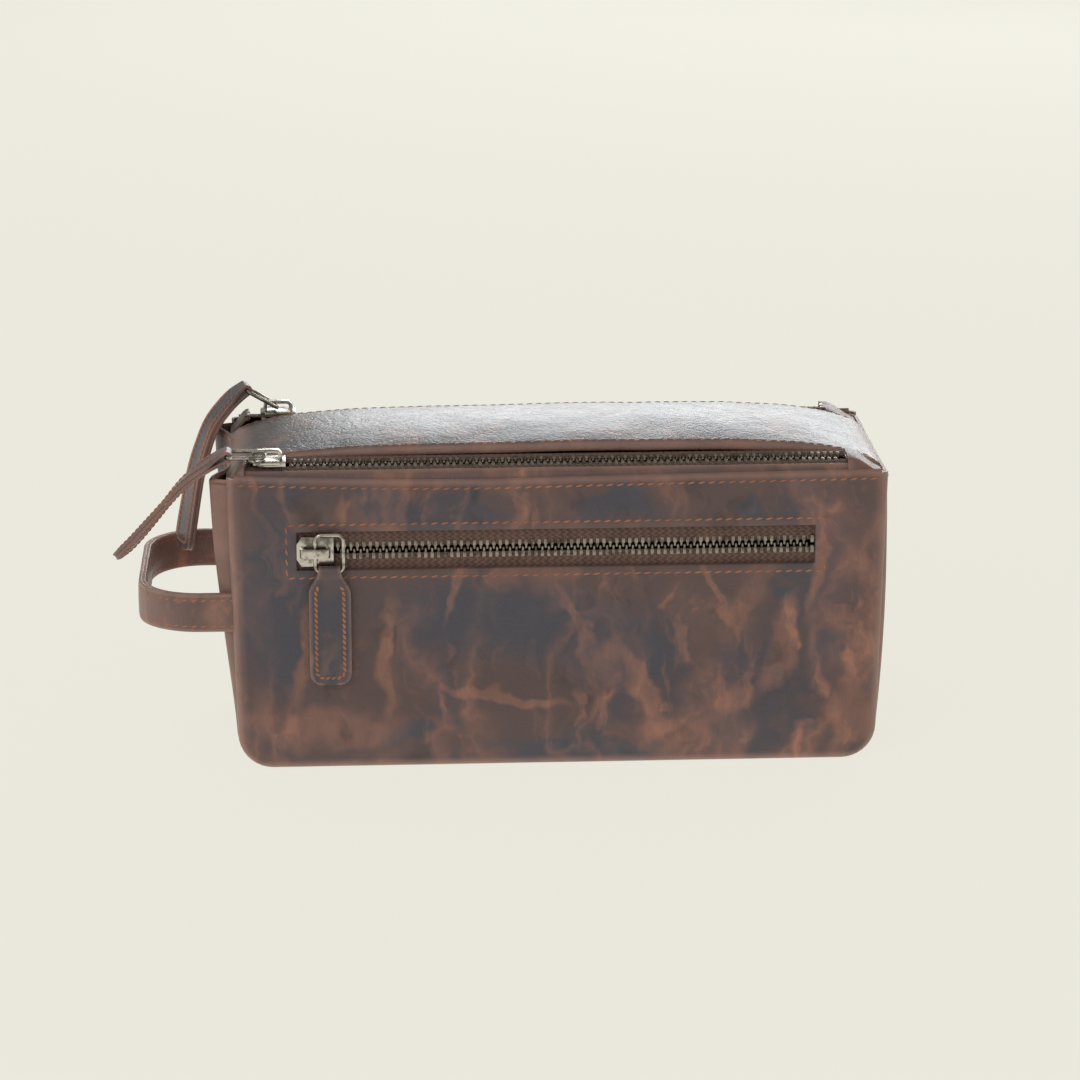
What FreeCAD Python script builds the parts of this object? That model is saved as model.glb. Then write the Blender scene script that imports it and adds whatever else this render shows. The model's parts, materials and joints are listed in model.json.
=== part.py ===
import FreeCAD, Part
import math
import os

# Leather shaving kit bag with two zipped compartments, a zipped front pocket and a side carry loop.
# Millimetres. +X is to the wearer's right along the length, +Y is to the back, +Z is up.
# The origin is the middle of the flat underside of the base.

os.makedirs("parts", exist_ok=True)
V = FreeCAD.Vector

# ---------------------------------------------------------------- driving dimensions
width_top = 268.0
width_base = 262.0
height = 120.0
depth = 104.0
leather = 1.6
lining = 0.6
corner_radius = 14.0

seam_gap = 0.3            # clearance between pieces of different moving groups
base_half = 116.0         # the base panel ends here, where the corner curve of the gusset starts

board_thick = 2.0
divider_thick = 1.2
divider_top = 127.0
divider_shoulder = 110.0  # the divider is at full height between these distances from the middle

# Zip chain, slider and pull
tooth_pitch = 2.63
tooth_width = 1.1
chain_half = 3.75         # from the middle of the chain to the back of the teeth
tooth_tip = 0.45          # the tips of each row stop this far from the middle, so the slider's neck passes
tooth_root = 1.9
tooth_half_thick = 1.1
tape_half_thick = 0.35
tape_inner = 1.5          # the tape stops this far from the middle of the chain

slider_length = 15.0
slider_half_width = 6.3
plate_inner = 1.5         # slider plates lie between these distances from the tape
plate_outer = 2.7
flange_inner = 4.2
tape_slot = 0.75
neck_half = 0.2
bridge_half_width = 1.9
bridge_half_length = 6.2
bridge_leg = 1.6
bridge_top = 6.85
bridge_bar = 1.2

wire_r = 0.8
ring_width = 11.4         # wire centre to wire centre
ring_length = 15.4
ring_corner = 2.6
ring_level = 4.6          # height of the captured wire above the tape

tab_width = 17.0
tab_neck = 8.2
tab_shoulder = 12.0       # the tab reaches its full width this far from the fold
tab_layer = 1.4
fold_outer = 2.3
fold_inner = 1.15
pocket_tab_length = 47.5
front_tab_length = 62.0
rear_tab_length = 75.0

# Front pocket
window_left, window_right = -106.6, 105.0
window_low, window_high = 84.2, 101.2
pocket_zip_z = (window_low + window_high) / 2
pocket_tape_y = -depth / 2 + leather + tape_half_thick
tape_behind = 4.0         # how far the pocket tapes reach behind the panel, above and below the window
pouch_depth = 6.0
pouch_side = 6.0          # how far the pouch reaches past the window
pouch_bottom = 22.0

# Top: strip, zip and domed centre panel, mirrored front to back
strip_inner = 48.0        # distance of the strip's free edge from the middle plane
panel_edge = 34.2         # distance of the centre panel's edge from the middle plane
zip_y = (strip_inner + panel_edge) / 2
zip_z = 126.0
strip_top = 127.2
top_left, top_right = -128.0, 119.0   # strips and tapes run from here to here
panel_thick = 3.6
dome_edge = 7.6
dome_crown = 4.4
dome_base = 121.6
dome_power = 12
lid_left, lid_right = -106.0, 96.0
top_teeth_left, top_teeth_right = -109.0, 116.5
stop_length = 1.6

# Rest places of the sliders
pocket_slider_x = -98.7
front_slider_x = -117.5
rear_slider_x = -114.0
front_tab_droop = 41.0
rear_tab_droop = 58.0
front_ring_lift = 0.0
rear_ring_lift = 32.0
rear_pull_turn = 12.0     # the rear pull points this far in towards the middle of the bag
captured_offset = -1.0    # the top rings' captured wire, from the slider's middle
pocket_ring_drop = 7.4    # height of the hanging pocket ring's top wire above the middle of its zip

# Side carry loop
strap_half = 8.0
strap_layer = 1.8
strap_z = 66.5
strap_end_y = 48.2
strap_out = 170.0
strap_corner = 24.0
knuckle_x = -144.5
knuckle_gap = 0.9


# ---------------------------------------------------------------- helpers
def save(name, shape):
    shape.exportStep("parts/" + name + ".step")
    print(name, round(shape.Volume, 1), "valid" if shape.isValid() else "INVALID")


def group(*shapes):
    return Part.makeCompound(list(shapes))


def box(x0, x1, y0, y1, z0, z1):
    return Part.makeBox(x1 - x0, y1 - y0, z1 - z0, V(x0, y0, z0))


def prism(points, along):
    wire = Part.makePolygon(points + [points[0]])
    return Part.Face(wire).extrude(along)


def mirrored_y(shape):
    return shape.mirror(V(0, 0, 0), V(0, 1, 0))


def side_x(z, inset):
    """Half width of the tapering side at height z."""
    return width_base / 2 + (width_top - width_base) / 2 * z / height - inset


def body_block(inset, y0, y1, z_top=height):
    """Tapered block with round bottom corners, set in from the outside of the bag."""
    low, high = side_x(inset, inset), side_x(z_top, inset)
    points = [V(-high, y0, z_top), V(-low, y0, inset), V(low, y0, inset), V(high, y0, z_top)]
    block = prism(points, V(0, y1 - y0, 0))
    bottom = [
        e for e in block.Edges
        if all(abs(v.Z - inset) < 1e-6 for v in e.Vertexes) and abs(e.Vertexes[0].X - e.Vertexes[1].X) < 1e-6
    ]
    return block.makeFillet(corner_radius - inset, bottom)


# ---------------------------------------------------------------- leather shell
def front_panel():
    panel = body_block(0, -depth / 2, -depth / 2 + leather)
    window = box(window_left, window_right, -depth, 0, window_low, window_high)
    return panel.cut(window)


def back_panel():
    return body_block(0, depth / 2 - leather, depth / 2)


def gusset_strip(outer, inner, half_y):
    """The U of leather or lining that runs down one side, under the base and up the other side."""
    return body_block(outer, -half_y, half_y).cut(body_block(inner, -half_y, half_y, height + 1))


def shell():
    half_y = depth / 2 - leather
    strip = gusset_strip(0, leather, half_y)
    base = box(-base_half, base_half, -half_y, half_y, 0, leather)
    left = strip.common(box(-width_top, -base_half, -half_y, half_y, 0, height))
    right = strip.common(box(base_half, width_top, -half_y, half_y, 0, height))
    save("front_panel", front_panel())
    save("back_panel", back_panel())
    save("left_gusset", left)
    save("right_gusset", right)
    save("base_panel", base)


# ---------------------------------------------------------------- lining, board and divider
def inside():
    half_y = depth / 2 - leather
    inset = leather + 0.1
    front = body_block(inset, -half_y, -half_y + lining, height - 1)
    clear = tape_behind + 0.2
    hole = box(window_left - clear, window_right + clear, -depth, 0, window_low - clear, window_high + clear)
    front = front.cut(hole)
    back = body_block(inset, half_y - lining, half_y, height - 1)
    clear_y = half_y - lining
    strip = gusset_strip(inset, inset + lining, clear_y)
    strip = strip.common(box(-width_top, width_top, -depth, depth, 0, height - 1))
    floor = inset + lining
    board = box(-base_half + 2, base_half - 2, -clear_y + 1, clear_y - 1, floor, floor + board_thick)
    divider = body_block(floor + 0.1, -divider_thick / 2, divider_thick / 2, divider_top)
    divider = divider.cut(box(-width_top, width_top, -depth, depth, 0, floor + board_thick + 0.05))
    divider = divider.common(divider_outline())
    save("front_lining", front)
    save("back_lining", back)
    save("side_and_base_lining", strip)
    save("base_stiffener_board", board)
    save("compartment_divider", divider)


def divider_outline():
    """The divider's top edge falls towards the ends, under the centre panel."""
    edge, low = width_top / 2, height - 1
    points = [
        V(-edge, -1, 0), V(-edge, -1, low), V(-divider_shoulder, -1, divider_top),
        V(divider_shoulder, -1, divider_top), V(edge, -1, low), V(edge, -1, 0),
    ]
    return prism(points, V(0, 2, 0))


def pocket_pouch():
    """Flat pouch behind the window: a back sheet and four narrow walls."""
    front = -depth / 2 + leather + lining
    back = front + pouch_depth
    x0, x1 = window_left - pouch_side, window_right + pouch_side
    z0, z1 = pouch_bottom, window_high + pouch_side
    sheet = box(x0, x1, back - lining, back, z0, z1)
    walls = group(
        box(x0, x0 + lining, front, back - lining, z0, z1),
        box(x1 - lining, x1, front, back - lining, z0, z1),
        box(x0 + lining, x1 - lining, front, back - lining, z0, z0 + lining),
        box(x0 + lining, x1 - lining, front, back - lining, z1 - lining, z1),
    )
    save("pocket_back_sheet", sheet)
    save("pocket_side_walls", walls)


# ---------------------------------------------------------------- top
def dome_z(x, y):
    crown = dome_edge + dome_crown * (1 - (y / panel_edge) ** 2)
    return dome_base + crown * (1 - abs(x / (width_top / 2)) ** dome_power)


def dome_piece(x0, x1, y0, y1):
    """A stretch of the centre panel: its domed upper face, carried straight down by its thickness."""
    columns, rows = 9, 7
    grid = [
        [
            V(x, y, dome_z(x, y))
            for y in (y0 + (y1 - y0) * j / (rows - 1) for j in range(rows))
        ]
        for x in (x0 + (x1 - x0) * i / (columns - 1) for i in range(columns))
    ]
    surface = Part.BSplineSurface()
    surface.interpolate(grid)
    return surface.toShape().extrude(V(0, 0, -panel_thick))


def strip_piece():
    """Narrow leather strip that rises from the front top edge to the zip."""
    half = depth / 2
    points = [
        V(top_left, -half, height),
        V(top_left, -strip_inner, strip_top),
        V(top_left, -strip_inner, strip_top - leather),
        V(top_left, -half + leather, height),
    ]
    return prism(points, V(top_right - top_left, 0, 0))


def end_cover(inner, outer):
    """Leather corner that closes the end of a zip and slopes down to the gusset."""
    points = [
        V(inner, -depth / 2, height),
        V(inner, -depth / 2, strip_top - 2.0),
        V(outer, -depth / 2, height + 0.4),
        V(outer, -depth / 2, height),
    ]
    return prism(points, V(0, depth / 2 - panel_edge, 0))


def top():
    save("front_edge_strip", strip_piece())
    save("rear_edge_strip", mirrored_y(strip_piece()))
    gap = seam_gap / 2
    save("centre_panel_front_half", dome_piece(lid_left, lid_right, -panel_edge, -gap))
    save("centre_panel_rear_half", dome_piece(lid_left, lid_right, gap, panel_edge))
    end = width_top / 2 - leather - 0.1
    save("centre_panel_left_end", dome_piece(-end, lid_left - seam_gap, -panel_edge, panel_edge))
    save("centre_panel_right_end", dome_piece(lid_right + seam_gap, end, -panel_edge, panel_edge))
    for inner, outer, name in ((top_left, -width_top / 2, "left"), (top_right, width_top / 2, "right")):
        cover = end_cover(inner, outer)
        save("zip_end_covers_" + name, group(cover, mirrored_y(cover)))


# ---------------------------------------------------------------- zip chain
# Chain pieces are made in a local frame: u along the zip, v across it, w out of the tape.
# 'across' is +1 for the row whose back is at -v, and -1 for the other row.
def teeth_row(u0, u1, phase, across):
    back, root, tip = -chain_half, -tooth_root, -tooth_tip
    points = [V(u0, across * back, 0), V(u0, across * root, 0)]
    u = u0 + 0.4 + phase
    while u + tooth_width < u1 - 0.2:
        points += [
            V(u, across * root, 0),
            V(u, across * tip, 0),
            V(u + tooth_width, across * tip, 0),
            V(u + tooth_width, across * root, 0),
        ]
        u += tooth_pitch
    points += [V(u1, across * root, 0), V(u1, across * back, 0)]
    row = prism(points, V(0, 0, 2 * tooth_half_thick))
    row.translate(V(0, 0, -tooth_half_thick))
    spine_cut = box(u0 - 1, u1 + 1, -chain_half - 1, chain_half + 1, -tape_half_thick, tape_half_thick)
    low, high = sorted((across * back, -across * tape_inner))
    tape_side = box(u0 - 1, u1 + 1, low, high, -tape_half_thick, tape_half_thick)
    return row.cut(spine_cut.common(tape_side))


def stops(places):
    """Small metal clips that close the ends of the chain."""
    clips = []
    for u in places:
        for side in (-1, 1):
            v0, v1 = sorted((side * 0.6, side * chain_half))
            clip = box(u, u + stop_length, v0, v1, -1.4, 1.4)
            v0, v1 = sorted((side * tape_inner, side * chain_half))
            clips.append(clip.cut(box(u, u + stop_length, v0, v1, -tape_half_thick, tape_half_thick)))
    return group(*clips)


def tape_piece(u0, u1, v_far, across):
    v0, v1 = sorted((-across * v_far, -across * tape_inner))
    return box(u0, u1, v0, v1, -tape_half_thick, tape_half_thick)


def slider():
    """Slider casting: two plates joined by a neck, four flanges, and a bridge for the ring."""
    half = slider_length / 2
    outline = [
        (-half, 3.2), (-half + 2.0, slider_half_width), (half, slider_half_width - 0.5),
        (half, -slider_half_width + 0.5), (-half + 2.0, -slider_half_width), (-half, -3.2),
    ]
    plate_thick = plate_outer - plate_inner
    plate = prism([V(u, v, 0) for u, v in outline], V(0, 0, plate_thick))
    upper, lower = plate.copy(), plate.copy()
    upper.translate(V(0, 0, plate_inner))
    lower.translate(V(0, 0, -plate_outer))
    body = upper.fuse(lower)
    body = body.fuse(box(-half + 0.4, -half + 3.4, -neck_half, neck_half, -plate_inner, plate_inner))
    flange_outer = slider_half_width - 0.5
    for side in (-1, 1):
        v0, v1 = sorted((side * flange_inner, side * flange_outer))
        body = body.fuse(box(-half + 4, half, v0, v1, tape_slot, plate_inner))
        body = body.fuse(box(-half + 4, half, v0, v1, -plate_inner, -tape_slot))
    return body.fuse(bridge()).removeSplitter()


def arch(half, low, high, r):
    """Closed face in the u-w plane: a rectangle with round upper corners."""
    c = r * (1 - math.sqrt(0.5))
    y = -bridge_half_width
    edges = [
        Part.LineSegment(V(-half, y, low), V(-half, y, high - r)),
        Part.Arc(V(-half, y, high - r), V(-half + c, y, high - c), V(-half + r, y, high)),
        Part.LineSegment(V(-half + r, y, high), V(half - r, y, high)),
        Part.Arc(V(half - r, y, high), V(half - c, y, high - c), V(half, y, high - r)),
        Part.LineSegment(V(half, y, high - r), V(half, y, low)),
        Part.LineSegment(V(half, y, low), V(-half, y, low)),
    ]
    return Part.Face(Part.Wire([e.toShape() for e in edges]))


def bridge():
    outer = arch(bridge_half_length, plate_outer - 0.2, bridge_top, 2.4)
    hole = arch(bridge_half_length - bridge_leg, plate_outer, bridge_top - bridge_bar, 1.2)
    return outer.cut(hole).extrude(V(0, 2 * bridge_half_width, 0))


def ring():
    """Wire ring in the u-v plane, captured wire at u = 0, its middle on v = 0, reaching to -u."""
    half, r, far = ring_width / 2, ring_corner, -ring_length
    c = r * (1 - math.sqrt(0.5))
    edges = [
        Part.LineSegment(V(0, -half + r, 0), V(0, half - r, 0)),
        Part.Arc(V(0, half - r, 0), V(-c, half - c, 0), V(-r, half, 0)),
        Part.LineSegment(V(-r, half, 0), V(far + r, half, 0)),
        Part.Arc(V(far + r, half, 0), V(far + c, half - c, 0), V(far, half - r, 0)),
        Part.LineSegment(V(far, half - r, 0), V(far, -half + r, 0)),
        Part.Arc(V(far, -half + r, 0), V(far + c, -half + c, 0), V(far + r, -half, 0)),
        Part.LineSegment(V(far + r, -half, 0), V(-r, -half, 0)),
        Part.Arc(V(-r, -half, 0), V(-c, -half + c, 0), V(0, -half + r, 0)),
    ]
    path = Part.Wire([e.toShape() for e in edges])
    profile = Part.Wire([Part.makeCircle(wire_r, V(0, 0, 0), V(0, 1, 0))])
    return path.makePipeShell([profile], True, False)


def tab_halves(length):
    """Leather tab in the u-v plane, folded round a wire at the origin, reaching to -u. Returns (face, back)."""
    neck, wide, r = tab_neck / 2, tab_width / 2, 5.0
    c = r * (1 - math.sqrt(0.5))
    tall = 3 * fold_outer
    sides = [
        Part.LineSegment(V(fold_outer, -neck, -tall), V(fold_outer, neck, -tall)),
        Part.LineSegment(V(fold_outer, neck, -tall), V(-2.2, neck, -tall)),
        Part.LineSegment(V(-2.2, neck, -tall), V(-6.0, neck + 2.6, -tall)),
        Part.LineSegment(V(-6.0, neck + 2.6, -tall), V(-tab_shoulder, wide, -tall)),
        Part.LineSegment(V(-tab_shoulder, wide, -tall), V(-length + r, wide, -tall)),
        Part.Arc(V(-length + r, wide, -tall), V(-length + c, wide - c, -tall), V(-length, wide - r, -tall)),
        Part.LineSegment(V(-length, wide - r, -tall), V(-length, -wide + r, -tall)),
        Part.Arc(V(-length, -wide + r, -tall), V(-length + c, -wide + c, -tall), V(-length + r, -wide, -tall)),
        Part.LineSegment(V(-length + r, -wide, -tall), V(-tab_shoulder, -wide, -tall)),
        Part.LineSegment(V(-tab_shoulder, -wide, -tall), V(-6.0, -neck - 2.6, -tall)),
        Part.LineSegment(V(-6.0, -neck - 2.6, -tall), V(-2.2, -neck, -tall)),
        Part.LineSegment(V(-2.2, -neck, -tall), V(fold_outer, -neck, -tall)),
    ]
    outline = Part.Face(Part.Wire([e.toShape() for e in sides])).extrude(V(0, 0, 2 * tall))
    plate = box(-length, 0, -wide, wide, -tab_layer, tab_layer)
    taper = prism(
        [V(0, -wide, fold_outer), V(-8, -wide, tab_layer), V(-8, -wide, -tab_layer), V(0, -wide, -fold_outer)],
        V(0, 2 * wide, 0),
    )
    fold = Part.makeCylinder(fold_outer, 2 * wide, V(0, -wide, 0), V(0, 1, 0))
    bore = Part.makeCylinder(fold_inner, 2 * wide, V(0, -wide, 0), V(0, 1, 0))
    whole = plate.fuse(taper).fuse(fold).cut(bore).common(outline).removeSplitter()
    upper = box(-length - 1, tall, -wide, wide, 0.01, tall)
    lower = box(-length - 1, tall, -wide, wide, -tall, -0.01)
    return whole.common(upper), whole.common(lower)


# ---------------------------------------------------------------- places of the three zips
def on_front(shape, x):
    """Local u, v, w to the front face: u to +X, v to +Z, w to -Y."""
    placed = shape.copy()
    placed.rotate(V(0, 0, 0), V(1, 0, 0), 90)
    placed.translate(V(x, pocket_tape_y, pocket_zip_z))
    return placed


def on_top(shape, x, side):
    """Local u, v, w to the top: u to +X, v to +Y, w to +Z. side is -1 at the front and 1 at the rear."""
    placed = shape.copy()
    placed.translate(V(x, side * zip_y, zip_z))
    return placed


def pull_place(shape, droop, turn, at):
    """Lets a pull's far end, at -u, drop by droop, turns it in plan, and moves it to its place."""
    placed = shape.copy()
    placed.rotate(V(0, 0, 0), V(0, 1, 0), -droop)
    placed.rotate(V(0, 0, 0), V(0, 0, 1), turn)
    placed.translate(at)
    return placed


def pocket_zip():
    u0, u1 = pocket_slider_x + slider_length / 2 + 0.5, window_right - 1 - stop_length
    reach = (window_high - window_low) / 2 + tape_behind
    left, right = window_left - tape_behind, window_right + tape_behind
    save("pocket_zip_upper_tape", on_front(tape_piece(left, right, reach, -1), 0))
    save("pocket_zip_lower_tape", on_front(tape_piece(left, right, reach, 1), 0))
    save("pocket_zip_upper_teeth", on_front(teeth_row(u0, u1, 0, -1), 0))
    save("pocket_zip_lower_teeth", on_front(teeth_row(u0, u1, tooth_pitch / 2, 1), 0))
    save("pocket_zip_end_stop", on_front(stops([u1 + 0.1]), 0))
    save("pocket_slider", on_front(slider(), pocket_slider_x))
    # The ring hangs down: one long side passes under the bridge, and its lower bar carries the tab.
    hang = ring()
    hang.rotate(V(0, 0, 0), V(0, 0, 1), 90)
    hang.translate(V(ring_width / 2, pocket_ring_drop, ring_level))
    save("pocket_pull_ring", on_front(hang, pocket_slider_x))
    face, back = tab_halves(pocket_tab_length)
    for name, half in (("pocket_pull_tab_face", face), ("pocket_pull_tab_back", back)):
        half.rotate(V(0, 0, 0), V(0, 0, 1), 90)
        half.translate(V(ring_width / 2, pocket_ring_drop - ring_length, ring_level))
        save(name, on_front(half, pocket_slider_x))


def top_zip(name, side, slider_x):
    """side is -1 for the front zip and 1 for the rear one. The row by the centre panel moves with the lid."""
    across_outer, across_lid = (1, -1) if side < 0 else (-1, 1)
    outer_reach, lid_reach = strip_inner - zip_y, zip_y - panel_edge
    u0, u1, half_pitch = top_teeth_left, top_teeth_right, tooth_pitch / 2
    outer_tape = tape_piece(top_left, top_right, outer_reach, across_outer)
    save(name + "_zip_outer_tape", on_top(outer_tape, 0, side))
    save(name + "_zip_outer_teeth", on_top(teeth_row(u0, u1, 0, across_outer), 0, side))
    lid_tape = tape_piece(lid_left, lid_right, lid_reach, across_lid)
    save(name + "_zip_lid_tape", on_top(lid_tape, 0, side))
    # The lid's row keeps half a pitch out of step with the outer row.
    phase = (u0 + half_pitch - lid_left) % tooth_pitch
    save(name + "_zip_lid_teeth", on_top(teeth_row(lid_left, lid_right, phase, across_lid), 0, side))
    end_left = tape_piece(top_left, lid_left - seam_gap, lid_reach, across_lid)
    end_right = tape_piece(lid_right + seam_gap, top_right, lid_reach, across_lid)
    save(name + "_zip_tape_ends", group(on_top(end_left, 0, side), on_top(end_right, 0, side)))
    save(name + "_zip_end_stops", on_top(stops([top_left + 0.4, top_right - stop_length - 0.3]), 0, side))
    save(name + "_slider", on_top(slider(), slider_x, side))


def top_pull(name, side, slider_x, length, droop, lift, turn):
    """Ring and folded leather tab. The ring is lifted off the slider, and the tab hangs from its far bar."""
    save(name + "_pull_ring", on_top(pull_place(ring(), -lift, turn, V(captured_offset, 0, ring_level)), slider_x, side))
    a, t = math.radians(lift), math.radians(turn)
    reach = ring_length * math.cos(a)
    bar = V(captured_offset - reach * math.cos(t), -reach * math.sin(t), ring_level + ring_length * math.sin(a))
    print(name, "ring bar at", round(slider_x + bar.x, 3), round(side * zip_y + bar.y, 3), round(zip_z + bar.z, 3))
    for part, half in zip(("face", "back"), tab_halves(length)):
        save(name + "_pull_tab_" + part, on_top(pull_place(half, droop, turn, bar), slider_x, side))


# ---------------------------------------------------------------- carry loop
def strap_band(d0, d1):
    """Plan of the loop between two offsets from its middle line, carried up by the strap's width."""
    def path(d):
        y, x, r = strap_end_y + d, -(strap_out + d), strap_corner + d
        start = knuckle_x + strap_half
        bend_x, bend_y = -(strap_out - strap_corner), strap_end_y - strap_corner
        c = r * math.sqrt(0.5)
        z = strap_z - strap_half
        return [
            Part.LineSegment(V(start, -y, z), V(bend_x, -y, z)),
            Part.Arc(V(bend_x, -y, z), V(bend_x - c, -bend_y - c, z), V(x, -bend_y, z)),
            Part.LineSegment(V(x, -bend_y, z), V(x, bend_y, z)),
            Part.Arc(V(x, bend_y, z), V(bend_x - c, bend_y + c, z), V(bend_x, y, z)),
            Part.LineSegment(V(bend_x, y, z), V(start, y, z)),
        ]

    inner, outer = path(d0), path(d1)
    z = strap_z - strap_half
    start = knuckle_x + strap_half
    ends = [
        Part.LineSegment(V(start, -strap_end_y - d0, z), V(start, -strap_end_y - d1, z)),
        Part.LineSegment(V(start, strap_end_y + d0, z), V(start, strap_end_y + d1, z)),
    ]
    edges = Part.sortEdges([e.toShape() for e in inner + outer + ends])[0]
    band = Part.Face(Part.Wire(edges)).extrude(V(0, 0, 2 * strap_half))
    far = 2 * strap_out
    keep = box(-far, knuckle_x, -far, far, 0, height)
    keep = keep.fuse(Part.makeCylinder(strap_half, 2 * far, V(knuckle_x, -far, strap_z), V(0, 1, 0)))
    return band.common(keep)


def strap_root(side):
    """Sewn-down end of the loop, hollowed round the place where the loop bends."""
    y0, y1 = sorted((side * (strap_end_y - strap_layer), side * (strap_end_y + strap_layer)))
    low, high = strap_z - strap_half, strap_z + strap_half
    root = box(knuckle_x + 2, -width_base / 2 + 4, y0, y1, low, high)
    cup = Part.makeCylinder(strap_half + knuckle_gap, depth, V(knuckle_x, -depth / 2, strap_z), V(0, 1, 0))
    return root.cut(cup).cut(body_block(0, -depth, depth))


def carry_loop():
    save("handle_outer_layer", strap_band(0.01, strap_layer))
    save("handle_inner_layer", strap_band(-strap_layer, -0.01))
    save("handle_front_root", strap_root(-1))
    save("handle_rear_root", strap_root(1))


shell()
inside()
pocket_pouch()
top()
pocket_zip()
top_zip("front", -1, front_slider_x)
top_zip("rear", 1, rear_slider_x)
top_pull("front", -1, front_slider_x, front_tab_length, front_tab_droop, front_ring_lift, 0.0)
top_pull("rear", 1, rear_slider_x, rear_tab_length, rear_tab_droop, rear_ring_lift, rear_pull_turn)
carry_loop()
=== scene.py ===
import json
import math

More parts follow.
